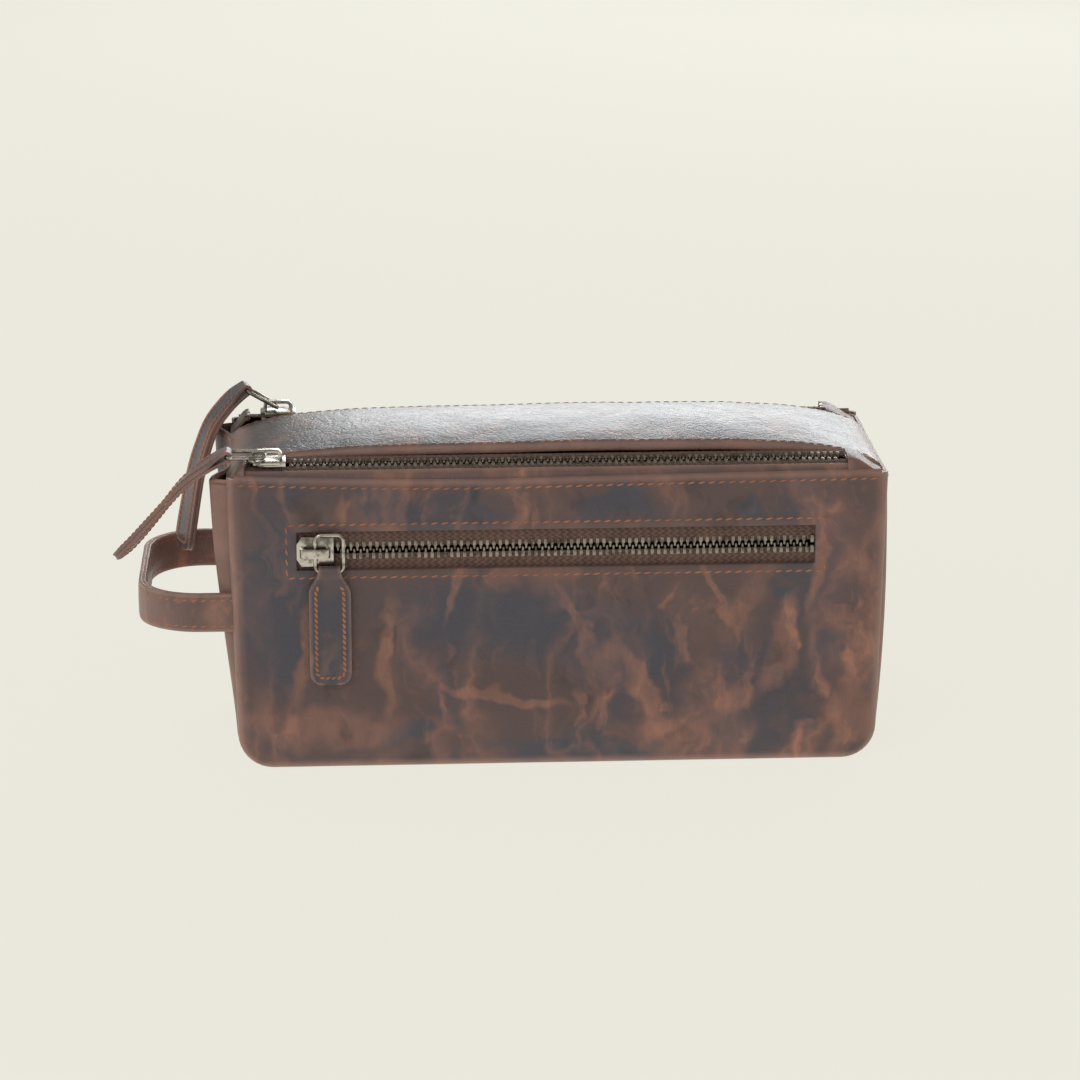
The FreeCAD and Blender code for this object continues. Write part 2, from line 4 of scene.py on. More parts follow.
import bmesh
import bpy
from mathutils import Matrix, Vector, noise
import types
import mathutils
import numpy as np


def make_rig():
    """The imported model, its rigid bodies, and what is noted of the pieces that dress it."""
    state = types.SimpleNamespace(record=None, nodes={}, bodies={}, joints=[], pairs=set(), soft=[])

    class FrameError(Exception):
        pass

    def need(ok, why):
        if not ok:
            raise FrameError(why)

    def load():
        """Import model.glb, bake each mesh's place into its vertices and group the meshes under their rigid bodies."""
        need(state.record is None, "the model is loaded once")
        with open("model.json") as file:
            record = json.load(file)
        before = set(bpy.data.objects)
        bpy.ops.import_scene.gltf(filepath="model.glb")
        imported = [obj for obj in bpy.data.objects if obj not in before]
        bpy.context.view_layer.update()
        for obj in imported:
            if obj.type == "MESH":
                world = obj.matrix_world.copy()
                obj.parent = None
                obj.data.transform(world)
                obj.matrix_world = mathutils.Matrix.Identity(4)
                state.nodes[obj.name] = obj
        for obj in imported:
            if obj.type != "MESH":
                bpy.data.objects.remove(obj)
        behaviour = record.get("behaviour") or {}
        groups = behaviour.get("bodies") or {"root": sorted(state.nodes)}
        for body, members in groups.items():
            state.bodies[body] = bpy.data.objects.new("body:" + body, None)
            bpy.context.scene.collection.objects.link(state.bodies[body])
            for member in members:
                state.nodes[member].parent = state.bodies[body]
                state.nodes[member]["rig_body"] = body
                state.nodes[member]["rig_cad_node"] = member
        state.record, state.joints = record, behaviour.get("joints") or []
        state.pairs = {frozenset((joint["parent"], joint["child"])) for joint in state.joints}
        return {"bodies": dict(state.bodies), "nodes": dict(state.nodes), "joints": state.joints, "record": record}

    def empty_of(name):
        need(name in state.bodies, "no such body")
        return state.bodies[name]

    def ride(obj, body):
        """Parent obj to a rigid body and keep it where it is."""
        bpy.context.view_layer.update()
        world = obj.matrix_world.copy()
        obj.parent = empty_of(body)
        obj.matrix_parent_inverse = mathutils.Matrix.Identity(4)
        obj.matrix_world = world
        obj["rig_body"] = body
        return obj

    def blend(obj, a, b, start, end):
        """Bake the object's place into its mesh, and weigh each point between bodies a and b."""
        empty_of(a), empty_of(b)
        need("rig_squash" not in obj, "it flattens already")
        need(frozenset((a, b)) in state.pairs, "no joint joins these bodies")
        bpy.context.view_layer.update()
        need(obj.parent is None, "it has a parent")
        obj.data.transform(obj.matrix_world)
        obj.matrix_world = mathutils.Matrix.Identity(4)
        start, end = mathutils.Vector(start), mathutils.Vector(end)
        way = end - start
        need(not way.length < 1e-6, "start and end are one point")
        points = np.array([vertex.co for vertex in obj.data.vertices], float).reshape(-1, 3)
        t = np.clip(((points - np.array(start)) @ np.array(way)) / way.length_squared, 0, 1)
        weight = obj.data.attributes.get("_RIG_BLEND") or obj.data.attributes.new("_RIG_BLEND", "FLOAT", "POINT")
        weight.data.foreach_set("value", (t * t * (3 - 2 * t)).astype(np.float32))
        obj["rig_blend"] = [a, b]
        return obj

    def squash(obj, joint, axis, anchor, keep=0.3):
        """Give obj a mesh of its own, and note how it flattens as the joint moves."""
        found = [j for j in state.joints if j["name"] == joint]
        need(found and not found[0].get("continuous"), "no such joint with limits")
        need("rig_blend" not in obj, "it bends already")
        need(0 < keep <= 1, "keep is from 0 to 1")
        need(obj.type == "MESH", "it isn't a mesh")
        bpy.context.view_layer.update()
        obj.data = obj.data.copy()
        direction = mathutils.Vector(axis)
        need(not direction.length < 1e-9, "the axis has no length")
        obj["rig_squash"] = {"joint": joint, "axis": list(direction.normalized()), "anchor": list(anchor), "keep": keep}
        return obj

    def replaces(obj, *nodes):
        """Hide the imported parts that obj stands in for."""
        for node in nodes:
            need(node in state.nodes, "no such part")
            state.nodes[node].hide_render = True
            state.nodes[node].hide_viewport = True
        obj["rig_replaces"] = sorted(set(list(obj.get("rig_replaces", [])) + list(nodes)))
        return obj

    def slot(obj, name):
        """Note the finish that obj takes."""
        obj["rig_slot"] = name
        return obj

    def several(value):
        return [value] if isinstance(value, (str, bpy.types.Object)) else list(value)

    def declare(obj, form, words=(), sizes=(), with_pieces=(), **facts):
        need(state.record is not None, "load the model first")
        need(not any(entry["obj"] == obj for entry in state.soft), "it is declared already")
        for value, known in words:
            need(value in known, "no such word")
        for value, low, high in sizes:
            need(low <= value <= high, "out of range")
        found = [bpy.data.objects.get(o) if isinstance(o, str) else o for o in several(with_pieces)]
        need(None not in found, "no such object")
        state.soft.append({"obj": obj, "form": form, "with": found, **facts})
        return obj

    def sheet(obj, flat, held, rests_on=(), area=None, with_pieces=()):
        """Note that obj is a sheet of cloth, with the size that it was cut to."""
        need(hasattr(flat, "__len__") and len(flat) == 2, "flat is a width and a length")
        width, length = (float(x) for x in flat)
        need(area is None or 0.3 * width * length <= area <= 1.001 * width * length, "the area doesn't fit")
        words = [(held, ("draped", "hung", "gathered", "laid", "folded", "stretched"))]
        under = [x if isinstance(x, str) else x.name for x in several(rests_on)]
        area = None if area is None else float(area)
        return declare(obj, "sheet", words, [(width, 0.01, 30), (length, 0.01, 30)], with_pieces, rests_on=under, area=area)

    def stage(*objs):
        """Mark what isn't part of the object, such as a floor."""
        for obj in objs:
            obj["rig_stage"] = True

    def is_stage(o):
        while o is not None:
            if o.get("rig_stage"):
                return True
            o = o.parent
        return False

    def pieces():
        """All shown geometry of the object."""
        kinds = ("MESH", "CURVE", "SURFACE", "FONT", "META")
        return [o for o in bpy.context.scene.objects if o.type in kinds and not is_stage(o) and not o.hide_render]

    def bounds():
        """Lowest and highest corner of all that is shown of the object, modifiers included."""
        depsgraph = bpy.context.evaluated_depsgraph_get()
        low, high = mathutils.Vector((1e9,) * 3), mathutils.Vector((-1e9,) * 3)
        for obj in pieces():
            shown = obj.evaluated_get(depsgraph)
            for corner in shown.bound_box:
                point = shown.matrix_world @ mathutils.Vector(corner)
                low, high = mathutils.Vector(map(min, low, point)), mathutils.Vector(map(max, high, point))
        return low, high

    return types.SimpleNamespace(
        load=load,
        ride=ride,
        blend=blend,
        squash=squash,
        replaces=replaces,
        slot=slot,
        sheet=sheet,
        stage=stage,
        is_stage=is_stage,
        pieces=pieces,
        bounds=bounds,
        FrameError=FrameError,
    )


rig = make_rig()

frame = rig.load()
cadBounds = [list(corner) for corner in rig.bounds()]
print("frame loaded:", len(frame["nodes"]), "parts")

scene = bpy.context.scene
scene.view_settings.view_transform = "Standard"
up = Vector((0, 0, 1))
front = Vector((0, -1, 0))

# main sizes of the bag, in millimetres
bag = {
    "widthTop": 268,
    "widthBase": 262,
    "height": 120,
    "depth": 104,
    "corner": 14,       # bottom corners of the front and back
    "roll": 3.0,        # how the front and back turn into the side seam
    "leather": 1.6,
    "straight": 112,    # the panels' columns of cells lean outwards beyond this
    "lowBulge": 1.9,    # how far the front swells near the bottom
    "ridgeLeft": 7.0,   # how far the left side swells beside its seams, at the top
    "ridgeRight": 2.4,
}


# small helpers
def ease(t):
    t = min(max(t, 0.0), 1.0)
    return t * t * (3 - 2 * t)


def spread(start, end, count):
    return [start + (end - start) * i / count for i in range(count + 1)]


def joined(*runs):
    # several runs of values put end to end, without the doubled ends
    values = list(runs[0])
    for run in runs[1:]:
        values += run[1:]
    return values


def ripple(x, y, z, size, shift=0.0):
    return noise.noise(Vector((x / size + shift, y / size - shift, z / size + 2 * shift)))


def gridOf(across, along, place):
    # a grid of cells, each corner put where place says
    mesh = bmesh.new()
    columns, rows = len(across) - 1, len(along) - 1
    bmesh.ops.create_grid(mesh, x_segments=columns, y_segments=rows, size=0.5)
    for v in mesh.verts:
        v.co = place(across[round((v.co.x + 0.5) * columns)], along[round((v.co.y + 0.5) * rows)])
    return mesh


def agree(mesh):
    bmesh.ops.recalc_face_normals(mesh, faces=mesh.faces)
    mesh.normal_update()


def faceOut(mesh, direction):
    # makes the faces of an open sheet agree, and turns them towards a direction
    agree(mesh)
    if sum(f.normal.dot(direction) * f.calc_area() for f in mesh.faces) < 0:
        bmesh.ops.reverse_faces(mesh, faces=mesh.faces)


def faceDown(mesh):
    # the same for the U of leather and its lining: the lowest face looks down
    agree(mesh)
    if min(mesh.faces, key=lambda f: f.calc_center_median().z).normal.z > 0:
        bmesh.ops.reverse_faces(mesh, faces=mesh.faces)


def cutOpening(mesh, hole):
    gone = []
    for f in mesh.faces:
        middle = f.calc_center_median()
        if hole["left"] < middle.x < hole["right"] and hole["low"] < middle.z < hole["high"]:
            gone.append(f)
    bmesh.ops.delete(mesh, geom=gone, context="FACES")


def growEdge(mesh, edges, moves):
    # draws a border out in steps; each step moves the new edge by what its function gives
    for move in moves:
        made = bmesh.ops.extrude_edge_only(mesh, edges=edges)["geom"]
        edges = [g for g in made if isinstance(g, bmesh.types.BMEdge)]
        for v in {v for e in edges for v in e.verts}:
            v.co += move(v.co)


def rolled(radius, steps, outward, back):
    # the moves of a quarter turn, out along outward and then back
    moves = []
    for i in range(steps):
        a, b = math.pi / 2 * i / steps, math.pi / 2 * (i + 1) / steps
        out, rear = radius * (math.sin(b) - math.sin(a)), radius * (math.cos(a) - math.cos(b))
        moves.append(lambda co, out=out, rear=rear: outward(co) * out + back * rear)
    return moves


def box(mesh, centre, size, bevel, segments):
    place = Matrix.Translation(centre) @ Matrix.Diagonal((size[0], size[1], size[2], 1))
    made = bmesh.ops.create_cube(mesh, size=1, matrix=place)["verts"]
    edges = list({e for v in made for e in v.link_edges})
    bmesh.ops.bevel(
        mesh, geom=edges, offset=bevel, segments=segments, affect="EDGES", profile=0.5, material=-1
    )


def sharpen(data, angle):
    work = bmesh.new()
    work.from_mesh(data)
    for f in work.faces:
        f.smooth = True
    for e in work.edges:
        e.smooth = e.calc_face_angle(0) < math.radians(angle)
    work.to_mesh(data)
    work.free()


slots = {
    "leather": "pull_up_leather",
    "topLeather": "pull_up_leather",
    "sideLeather": "pull_up_leather",
    "loopLeather": "pull_up_leather",
    "tabLeather": "pull_tab_leather",
    "lining": "lining_cloth",
    "tape": "zip_tape",
    "teeth": "antique_nickel_teeth",
    "nickel": "bright_nickel",
    "board": "stiffener_board",
}


def makePiece(name, mesh, finish, body=None, wall=0.0, offset=-1.0, rounding=0.0, repeat=None, replaced=(),
              wear=None, angle=38):
    # scales the millimetre mesh down, settles its modifiers, and hangs it on its body
    bmesh.ops.transform(mesh, matrix=Matrix.Scale(0.001, 4), verts=mesh.verts)
    data = bpy.data.meshes.new(name)
    mesh.to_mesh(data)
    mesh.free()
    piece = bpy.data.objects.new(name, data)
    scene.collection.objects.link(piece)
    if wall:
        solid = piece.modifiers.new("wall", "SOLIDIFY")
        solid.thickness = wall * 0.001
        solid.offset = offset
        solid.use_even_offset = True
    if rounding:
        soft = piece.modifiers.new("rounding", "BEVEL")
        soft.width = rounding * 0.001
        soft.segments = 2
        soft.limit_method = "ANGLE"
        soft.angle_limit = math.radians(50)
        soft.harden_normals = False
    if repeat:
        row = piece.modifiers.new("row", "ARRAY")
        row.count = repeat[0]
        row.use_relative_offset = False
        row.use_constant_offset = True
        row.constant_offset_displace = Vector(repeat[1]) * 0.001
    if piece.modifiers:
        ready = piece.evaluated_get(bpy.context.evaluated_depsgraph_get())
        settled = bpy.data.meshes.new_from_object(ready)
        piece.modifiers.clear()
        piece.data = settled
        bpy.data.meshes.remove(data)
        data = settled
        data.name = name
    sharpen(data, angle)
    if wear:
        marks = data.attributes.new("wear", "FLOAT", "POINT")
        for i, v in enumerate(data.vertices):
            marks.data[i].value = wear(v.co * 1000)
    data.materials.clear()
    data.materials.append(finishes[finish])
    if body:
        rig.ride(piece, body)
    if replaced:
        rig.replaces(piece, *replaced)
    if finish in slots:
        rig.slot(piece, slots[finish])
    return piece


# seams: every stitch is a small slanted grain of thread
def stitchAlong(mesh, route, outward, pitch=4.1, length=3.5, thick=0.95, lean=13, sink=0.12, keep=None):
    steps = [(b - a).length for a, b in zip(route, route[1:])]
    count = max(1, round(sum(steps) / pitch))
    gap = sum(steps) / count
    leg, gone = 0, 0.0
    for i in range(count):
        at = (i + 0.5) * gap
        while leg < len(steps) - 1 and gone + steps[leg] < at:
            gone += steps[leg]
            leg += 1
        along = (route[leg + 1] - route[leg]).normalized()
        point = route[leg] + along * (at - gone)
        if keep and not keep(point):
            continue
        normal = outward(point) if callable(outward) else outward
        run = Matrix.Rotation(math.radians(lean), 3, normal) @ along
        turn = Matrix((run, normal.cross(run), normal)).transposed().to_4x4()
        scale = Matrix.Diagonal((length / 2, thick / 2, thick * 0.42, 1))
        place = Matrix.Translation(point - normal * sink) @ turn @ scale
        bmesh.ops.create_uvsphere(mesh, u_segments=6, v_segments=4, radius=1, matrix=place)


# materials
class Shade:
    # wraps a socket, so that sums and products of sockets add Math nodes
    def __init__(self, tree, socket=None):
        self.tree = tree
        self.socket = socket

    def node(self, kind, settings, sockets, outlet=0):
        made = self.tree.nodes.new("ShaderNode" + kind)
        for key, value in settings.items():
            setattr(made, key, value)
        for key, value in sockets.items():
            if isinstance(value, Shade):
                self.tree.links.new(value.socket, made.inputs[key])
            else:
                made.inputs[key].default_value = value
        return Shade(self.tree, made.outputs[outlet])

    def maths(self, operation, first, second=0.0, clamp=False):
        return self.node("Math", {"operation": operation, "use_clamp": clamp}, {0: first, 1: second})

    def __add__(self, other):
        return self.maths("ADD", self, other)

    __radd__ = __add__

    def __mul__(self, other):
        return self.maths("MULTIPLY", self, other)

    __rmul__ = __mul__

    def __sub__(self, other):
        return self.maths("SUBTRACT", self, other)

    def __rsub__(self, other):
        return self.maths("SUBTRACT", other, self)

    def __pow__(self, other):
        return self.maths("POWER", self, other)

    def __abs__(self):
        return self.maths("ABSOLUTE", self)

    def clamped(self):
        return self.maths("ADD", self, 0.0, True)

    def axis(self, letter):
        return self.node("SeparateXYZ", {}, {"Vector": self}, letter)


def rgb(red, green, blue):
    # a colour picked by eye on a 0 to 255 scale, made linear
    parts = [c / 255 for c in (red, green, blue)]
    return tuple(c / 12.92 if c <= 0.04045 else ((c + 0.055) / 1.055) ** 2.4 for c in parts) + (1.0,)


def mixed(factor, first, second):
    settings = {"data_type": "RGBA", "blend_type": "MIX", "clamp_factor": True}
    return factor.node("Mix", settings, {0: factor, 6: first, 7: second}, 2)


def fade(value, start, end):
    settings = {"interpolation_type": "SMOOTHSTEP"}
    return value.node("MapRange", settings, {"Value": value, "From Min": start, "From Max": end})


def bumped(height, strength, distance):
    return height.node("Bump", {}, {"Height": height, "Strength": strength, "Distance": distance})


def newFinish(name):
    made = bpy.data.materials.new(name)
    made.use_nodes = True
    return made


def startFinish(name):
    # a material and the object's own coordinates in it
    made = newFinish(name)
    return made, Shade(made.node_tree).node("TexCoord", {}, {}, "Object")


def setShader(made, values):
    shader = made.node_tree.nodes["Principled BSDF"]
    for key, value in values.items():
        if isinstance(value, Shade):
            made.node_tree.links.new(value.socket, shader.inputs[key])
        else:
            shader.inputs[key].default_value = value
    return made


def clouds(place, scale, detail=3.0, rough=0.55, bend=0.0, outlet=0):
    sockets = {"Vector": place, "Scale": scale, "Detail": detail, "Roughness": rough, "Distortion": bend}
    return place.node("TexNoise", {}, sockets, outlet)


def stretched(place, scale, turn=(0, 0, 0)):
    return place.node("Mapping", {}, {"Vector": place, "Scale": scale, "Rotation": turn})


def patchMask(place, patches):
    # a soft blot for each (centre, size, lean), in millimetres and degrees
    mask = None
    for centre, size, lean in patches:
        local = place.node(
            "Mapping",
            {"vector_type": "TEXTURE"},
            {
                "Vector": place,
                "Location": [c * 0.001 for c in centre],
                "Scale": [s * 0.001 for s in size],
                "Rotation": (0, math.radians(lean), 0),
            },
        )
        far = place.node("VectorMath", {"operation": "LENGTH"}, {0: local}, "Value")
        blot = 1 - fade(far, 0.45, 1.15)
        mask = blot if mask is None else place.maths("MAXIMUM", mask, blot)
    return mask


leatherTones = {
    "slate": rgb(72, 70, 82),
    "umber": rgb(94, 74, 74),
    "tan": rgb(170, 118, 99),
    "worn": rgb(178, 138, 124),
    "dark": rgb(44, 40, 43),
    "grain": 0.30,
    "rough": 0.46,
}


def leatherFinish(name, slateSpots=(), tanSpots=(), slateShare=0.5, tanShare=0.5, worn=0.8, rough=0.0,
                  streakTurn=(0, 0, 0), frameMarks=False):
    tone = leatherTones
    made, place = startFinish(name)
    sway = clouds(place, 34.0, 3.0, outlet=1)
    half = place.node("VectorMath", {"operation": "SUBTRACT"}, {0: sway, 1: (0.5, 0.5, 0.5)})
    bent = place.node("VectorMath", {"operation": "MULTIPLY_ADD"}, {0: half, 1: (0.03,) * 3, 2: place})
    broad = clouds(bent, 17.0, 4.0, 0.6)
    slate = fade(broad, 0.62 - 0.24 * slateShare, 0.70 - 0.2 * slateShare)
    if slateSpots:
        slate = place.maths("MAXIMUM", slate * 0.75, patchMask(bent, slateSpots))
    # pulled-up streaks: thin ridges of a stretched cloud, finer ones between them
    long = clouds(stretched(bent, (30, 30, 10), streakTurn), 1.0, 2.0, 0.5)
    veins = (1 - abs(long - 0.5) * 9).clamped() ** 2.2
    short = clouds(stretched(bent, (95, 95, 26), streakTurn), 1.0, 3.0, 0.55)
    threads = fade(short, 0.52, 0.70)
    blush = clouds(bent, 23.0, 3.0, 0.6, 0.4)
    warm = fade(blush, 0.66 - 0.22 * tanShare, 0.84 - 0.2 * tanShare)
    if tanSpots:
        warm = place.maths("MAXIMUM", warm * 0.7, patchMask(bent, tanSpots))
    fine = clouds(place, 420.0, 3.0, 0.7)
    lively = fade(clouds(place, 16.0, 2.0), 0.34, 0.58)
    heat = warm * 0.44 + veins * 0.52 * (1 - slate * 0.4) * lively
    heat = heat + threads * 0.62 * (1 - slate * 0.5) * lively
    broken = clouds(stretched(place, (160, 160, 60), streakTurn), 1.0, 4.0, 0.65)
    heat = heat.clamped() * (broken * 1.3 + 0.28)
    ground = mixed(slate * (fine * 0.4 + 0.8), tone["umber"], tone["slate"])
    colour = mixed(heat, ground, tone["tan"])
    shadowed = fade(clouds(stretched(bent, (44, 44, 26), streakTurn), 1.0, 3.0, 0.6), 0.56, 0.74) * 0.6
    colour = mixed(shadowed, colour, tone["dark"])
    rubbed = place.node("Attribute", {"attribute_name": "wear"}, {}, "Fac")
    patchy = clouds(place, 60.0, 3.0) * 0.9 + 0.35
    colour = mixed((rubbed * patchy * worn).clamped(), colour, tone["worn"])
    # pebble grain, hair-fine creases and soft dents
    pebble = place.node(
        "TexVoronoi", {"feature": "SMOOTH_F1"}, {"Vector": place, "Scale": 780.0, "Smoothness": 0.6}, "Distance"
    )
    creases = clouds(stretched(bent, (150, 150, 60), streakTurn), 1.0, 3.0, 0.6, 0.3)
    crease = (1 - abs(creases - 0.5) * 16).clamped()
    height = pebble * 0.30 + fine * 0.35 - crease * 0.22 - veins * 0.2 + clouds(place, 90.0, 2.0) * 0.35
    if frameMarks:
        height = height + puckers(place)
    bump = bumped(height, tone["grain"], 0.0009)
    sheen = tone["rough"] + rough + (fine - 0.5) * 0.16 + (broad - 0.5) * 0.22 - slate * 0.05
    return setShader(made, {
        "Base Color": colour,
        "Roughness": sheen,
        "Normal": bump,
        "Specular IOR Level": 0.5,
        "Sheen Weight": 0.06,
        "Sheen Roughness": 0.5,
        "Coat Weight": 0.10,
        "Coat Roughness": 0.34,
    })


pucker = {"pitch": 4.1, "low": 104.2, "high": 108.2, "lean": 0.55}


def puckers(place):
    # slanted dents that the frame's top seam pulls in the leather above it
    across = place.axis("X") * 1000
    level = place.axis("Z") * 1000
    phase = (across - (level - pucker["low"]) * pucker["lean"]) * (2 * math.pi / pucker["pitch"])
    wave = place.maths("SINE", phase) * 0.5 + 0.5
    band = fade(level, pucker["low"] - 0.5, pucker["low"] + 0.8)
    band = band * (1 - fade(level, pucker["high"] - 2, pucker["high"]))
    inside = 1 - fade(abs(across), 107.0, 109.5)
    frontOnly = 1 - fade(place.axis("Y"), -0.049, -0.047)
    return (wave ** 3.0) * band * inside * frontOnly * -1.1


def clothFinish(name, colour, dark, scale, rough=0.85):
    made, place = startFinish(name)
    parts = [place.axis(letter) for letter in "XYZ"]
    rows = [place.maths("SINE", part * scale) for part in parts]
    weave = rows[0] * rows[2] + rows[1] * rows[2] * 0.7 + rows[0] * rows[1] * 0.7
    mottled = clouds(place, 60.0, 4.0)
    hue = mixed((weave * 0.22 + mottled * 0.9).clamped(), dark, colour)
    height = weave * 0.5 + clouds(place, 900.0) * 0.4
    bump = bumped(height, 0.3, 0.0003)
    return setShader(made, {
        "Base Color": hue, "Roughness": (mottled - 0.5) * 0.2 + rough, "Normal": bump,
        "Sheen Weight": 0.25, "Sheen Roughness": 0.5, "Specular IOR Level": 0.25,
    })


def tapeFinish(name):
    # herringbone zip tape, ribbed across the chain
    made, place = startFinish(name)
    across = place.axis("X") * 1000
    side = (place.axis("Z") + place.axis("Y")) * 1000
    twill = place.maths("SINE", across * 2.1 + place.maths("PINGPONG", side, 1.1) * 3.4)
    ribs = place.maths("SINE", across * 7.5)
    mottled = clouds(place, 140.0, 4.0)
    hue = mixed((twill * 0.28 + mottled * 0.9).clamped(), rgb(74, 54, 48), rgb(128, 98, 86))
    bump = bumped(twill * 0.6 + ribs * 0.3, 0.45, 0.0003)
    return setShader(made, {
        "Base Color": hue, "Roughness": mottled * 0.2 + 0.62, "Normal": bump,
        "Sheen Weight": 0.3, "Sheen Roughness": 0.4,
    })


def metalFinish(name, bright, dull, rough, spots):
    made, place = startFinish(name)
    tarnish = fade(clouds(place, spots, 4.0, 0.65), 0.42, 0.66)
    scratch = clouds(stretched(place, (900, 260, 260)), 1.0, 3.0)
    bump = bumped(scratch, 0.12, 0.0001)
    return setShader(made, {
        "Base Color": mixed(tarnish, bright, dull), "Metallic": 1.0,
        "Roughness": rough + tarnish * 0.16 + (scratch - 0.5) * 0.12, "Normal": bump,
    })


def threadFinish(name, light, dark):
    made, place = startFinish(name)
    fibres = clouds(stretched(place, (900, 900, 900)), 1.0, 4.0, 0.7, 2.0)
    soil = fade(clouds(place, 45.0, 3.0), 0.42, 0.64)
    hue = mixed(soil * 0.5, mixed(fibres, dark, light), dark)
    bump = bumped(fibres, 0.4, 0.0002)
    return setShader(made, {
        "Base Color": hue, "Roughness": fibres * 0.2 + 0.5, "Normal": bump, "Sheen Weight": 0.2,
    })


def boardFinish(name):
    made, place = startFinish(name)
    pulp = clouds(place, 700.0, 5.0, 0.7)
    flecks = fade(clouds(stretched(place, (900, 260, 500)), 1.0, 3.0), 0.6, 0.7)
    hue = mixed(pulp, rgb(122, 98, 74), rgb(164, 138, 108))
    hue = mixed(flecks * 0.5, hue, rgb(84, 66, 50))
    bump = bumped(pulp, 0.3, 0.0003)
    return setShader(made, {"Base Color": hue, "Roughness": pulp * 0.15 + 0.78, "Normal": bump})


# blots on the front: centre, size (the middle number is deep enough to reach any leather there), lean
frontSlate = [
    ((-116, -52, 72), (15, 60, 50), 0),
    ((-22, -52, 62), (62, 60, 21), 4),
    ((30, -52, 48), (30, 60, 20), -12),
    ((-61, -52, 13), (17, 60, 5.5), 0),
    ((72, -52, 40), (13, 60, 11), 20),
    ((112, -52, 50), (9, 60, 10), 0),
    ((78, -52, 110), (8, 60, 7), 0),
    ((-64, -52, 112), (22, 60, 8), 0),
    ((93, -52, 71), (8, 60, 7), 0),
    ((10, -52, 6), (46, 60, 6), 0),
    ((20, -52, 111), (20, 60, 7), 0),
]
frontTan = [
    ((-92, -52, 17), (30, 60, 11), 0),
    ((-72, -52, 46), (5, 60, 30), 2),
    ((-105, -52, 52), (4.5, 60, 34), 13),
    ((46, -52, 14), (15, 60, 10), 0),
    ((74, -52, 27), (13, 60, 8), -20),
    ((33, -52, 34), (5, 60, 30), -35),
    ((92, -52, 50), (6, 60, 26), 14),
    ((118, -52, 20), (12, 60, 14), 0),
    ((-20, -52, 30), (28, 60, 3), 6),
    ((6, -52, 62), (3, 60, 26), -32),
    ((64, -52, 70), (3, 60, 22), -28),
    ((108, -52, 84), (3, 60, 26), 10),
    ((-40, -52, 74), (3, 60, 18), 16),
]
finishes = {
    "leather": leatherFinish("pullUpLeather", frontSlate, frontTan, 0.45, 0.45, frameMarks=True),
    "topLeather": leatherFinish("topLeather", slateShare=0.9, tanShare=0.15, worn=0.9, rough=-0.10,
                                streakTurn=(0, math.radians(90), 0)),
    "sideLeather": leatherFinish("sideLeather", slateShare=0.3, tanShare=0.6, worn=0.9),
    "loopLeather": leatherFinish("loopLeather", slateShare=0.25, tanShare=0.7, worn=0.9),
    "tabLeather": leatherFinish("pullTabLeather", slateShare=0.9, tanShare=0.1, worn=0.6, rough=-0.04),
    "lining": clothFinish("liningCloth", rgb(66, 50, 44), rgb(40, 30, 27), 2600.0),
    "tape": tapeFinish("zipTape"),
    "teeth": metalFinish("antiqueNickel", rgb(158, 150, 138), rgb(96, 86, 80), 0.34, 260.0),
    "nickel": metalFinish("brightNickel", rgb(206, 200, 190), rgb(124, 116, 108), 0.17, 180.0),
    "thread": threadFinish("wheatThread", rgb(214, 140, 98), rgb(136, 82, 58)),
    "board": boardFinish("greyBoard"),
}
print("materials made:", len(finishes))

# shape of the shell
def sideAt(z):
    return (bag["widthBase"] + (bag["widthTop"] - bag["widthBase"]) * z / bag["height"]) / 2


def outlineHalf(z, inset):
    # half width of the front and back at a height, kept inset from their outline
    if z >= bag["corner"]:
        return sideAt(z) - inset
    reach = bag["corner"] - inset
    return sideAt(z) - bag["corner"] + math.sqrt(max(reach ** 2 - (bag["corner"] - z) ** 2, 0))


def topEdge(x):
    # the top edge sinks a little left of the middle
    return 120.5 + (2.8 * ((x + 24) / 110) ** 2 if x < -24 else 1.9 * ((x + 24) / 158) ** 0.8)


def bulge(x, z):
    low = bag["lowBulge"] * math.exp(-(((z - 22) / 17) ** 2)) * (1 - (x / 134) ** 4)
    soft = 0.35 * ripple(x, 0, z, 34) + 0.16 * ripple(x, 0, z, 13, 3.1)
    edge = ease((131 - abs(x)) / 14) * ease((120 - z) / 10) * ease(z / 10)
    return (0.35 + low + soft) * edge


def panelPlace(x, z, side):
    level = z + (topEdge(x) - bag["height"]) * ease((z - 104) / 16)
    half = outlineHalf(z, bag["roll"])
    if abs(x) > bag["straight"]:
        x = math.copysign(112 + (abs(x) - 112) / 19 * (half - 112), x)
    return Vector((x, side * (bag["depth"] / 2 + bulge(x, level)), level))


def outwardAt(co):
    # the way out of the panel's outline, in its own plane
    corner = sideAt(co.z) - bag["corner"]
    if co.z >= bag["corner"] - 0.01:
        return Vector((math.copysign(1, co.x), 0, 0))
    if abs(co.x) > corner:
        return Vector((co.x - math.copysign(corner, co.x), 0, co.z - bag["corner"])).normalized()
    return Vector((0, 0, -1))


window = {"left": -106.6, "right": 105.0, "low": 84.2, "high": 101.2}


def edgeWear(co):
    # the rolled borders are rubbed pale
    half = outlineHalf(max(co.z, 3), 0)
    near = min(half - abs(co.x), co.z)
    rub = 0.9 * ease((4.6 - near) / 4.0) + 0.65 * ease((co.z - topEdge(co.x) + 2.0) / 2.2)
    beside = window["left"] - 4 < co.x < window["right"] + 4
    if co.y < 0 and beside and window["low"] - 3 < co.z < window["high"] + 3:
        rub += 0.08
    return min(rub, 1.0)


